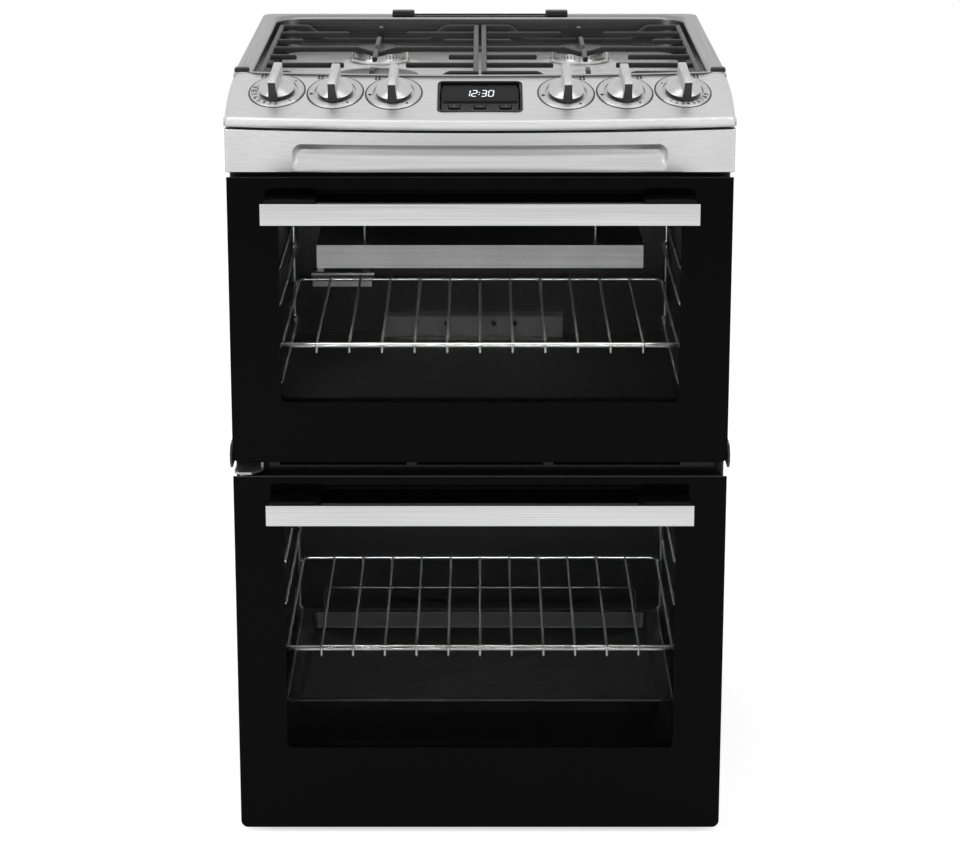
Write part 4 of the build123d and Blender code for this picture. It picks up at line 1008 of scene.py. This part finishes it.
for door, top in (("upper", 830.5), ("lower", 464)):
    low = top - 48.5
    middle = low + 12.75
    plate = carried([(x, FRONT - 43, middle) for x in (-256, -255.4, 255.4, 256)],
                    box(4, 25.5, 1.1, 4), (0, 0, 1))
    back = carried([(x, FRONT - 35, middle) for x in (-190, 190)], box(12, 23.5, 1.5), (0, 0, 1))
    piece(door + "_handle_plate", door + "_door", [handle_steel], [plate, back],
          [door + "_handle_bar"])
    outline = [(190, 0), (253, 0), (254, -40.9), (197, -40.9), (190, -33)]
    outline = rounded(np.array(outline) + (0, FRONT), (0.3, 0.3, 5, 5, 5), 4, True)
    rises = ((1.6, 1.2), (2, 0.4), (3, 0), (24, 0), (28, 2.5), (29, 4.5))
    levels = [(low + rise, inset) for rise, inset in rises]
    piece(door + "_moulded_posts", door + "_door", [post_black],
          [slab(outline * (way, 1), levels) for way in (-1, 1)], [door + "_handle_posts"])

# Small moulded pieces on the rim

RIM_TOP = 942
outline = [(275, FRONT + 87), (293, FRONT + 87), (293, FRONT + 101), (275, FRONT + 101)]
outline = rounded(outline, (5, 2, 2, 5), 4, True)
levels = [(RIM_TOP, 0), (944.6, 0.2), (945.6, 0.8), (946, 1.8)]
piece("rim_corner_caps", "cooker", [black_plastic],
      [slab(outline * (way, 1), levels) for way in (-1, 1)], ["rim_end_caps"])
levels = [(RIM_TOP, 0), (947, 0.2), (947.7, 0.7), (948, 1.6)]
blocks = [slab(box(30, 18, 2.5) + (x, FRONT + 582), levels) for x in (-103.5, 103.5)]
low_bar = [(x, FRONT + 575, 943.2) for x in (-90, 90)]
blocks.append(carried(low_bar, box(4, 2.5, 0.8), (0, 0, 1)))
piece("lid_hinge_blocks", "cooker", [black_plastic], blocks, ["rear_lid_blocks"])

# Floor, light and camera: metres and watts

WHITE_RAYS = ("Is Camera Ray", "Is Glossy Ray", "Is Transmission Ray")
FLOOR_HALF, FLOOR_GLOW, ROOM_LIGHT = 20, 0.62, 0.48
EYE, PITCH, LENS = (0, -3.675, 1.486), 15.74, 110.3


def seen(tree):
    """1 where the eye, a reflection or a look through glass meets the surface, 0 for its light."""
    rays = tree.nodes.new("ShaderNodeLightPath").outputs
    total = rays[WHITE_RAYS[0]]
    for name in WHITE_RAYS[1:]:
        larger = add(tree, "ShaderNodeMath", {"operation": "MAXIMUM"}, _0=total, _1=rays[name])
        total = larger.outputs[0]
    return total


floor_mesh = bpy.data.meshes.new("floor")
floor_corners = [(x * FLOOR_HALF, y * FLOOR_HALF, 0) for x, y in SQUARE]
floor_mesh.from_pydata(floor_corners, [], [(0, 1, 2, 3)])
floor = bpy.data.objects.new("floor", floor_mesh)
bpy.context.scene.collection.objects.link(floor)
paper, tree, shader, place = blank("floor_paper")
fill(tree, shader, Base_Color=tint(tree, speckle(tree, place, 3), grey(0.78), grey(0.8)),
     Roughness=0.9, Specular_IOR_Level=0.0, Emission_Color=grey(1.0),
     Emission_Strength=spread(tree, seen(tree), 0.0, FLOOR_GLOW, 0.0, 1.0))
floor_mesh.materials.append(paper)

world = bpy.data.worlds.new("studio")
bpy.context.scene.world = world
world.use_nodes = True
tree = world.node_tree
fill(tree, tree.nodes["Background"], Color=tint(tree, seen(tree), grey(ROOM_LIGHT), grey(1.0)))


def lamp(name, spot, target, size, power):
    """A soft rectangular lamp at the spot, turned to the target."""
    light = bpy.data.lights.new(name, "AREA")
    light.shape = "RECTANGLE"
    light.size, light.size_y = size
    light.energy = power
    holder = bpy.data.objects.new(name, light)
    bpy.context.scene.collection.objects.link(holder)
    holder.location = spot
    holder.rotation_euler = (Vector(target) - Vector(spot)).to_track_quat("-Z", "Y").to_euler()
    holder.visible_camera = False


lamp("key_lamp", (-2.6, -2.4, 2.2), (0, 0, 0.6), (2.4, 2.2), 44)
lamp("fill_lamp", (2.6, -2.2, 2.0), (0, 0, 0.5), (2.2, 2.2), 27)
lamp("top_lamp", (0, -1.3, 3.3), (0, -0.1, 0.5), (3.2, 1.2), 15)
for oven, height, power in (("upper", 0.665, 0.75), ("lower", 0.40, 1.8)):
    lamp(oven + "_oven_lamp", (0, -0.228, height), (0, 0.12, height - 0.03), (0.42, 0.02), power)

camera = bpy.data.cameras.new("camera")
camera.sensor_width = 36
camera.lens = LENS
eye = bpy.data.objects.new("camera", camera)
bpy.context.scene.collection.objects.link(eye)
eye.location = EYE
eye.rotation_euler = (math.radians(90 - PITCH), 0, 0)
bpy.context.scene.camera = eye
bpy.context.scene.view_settings.view_transform = "Standard"
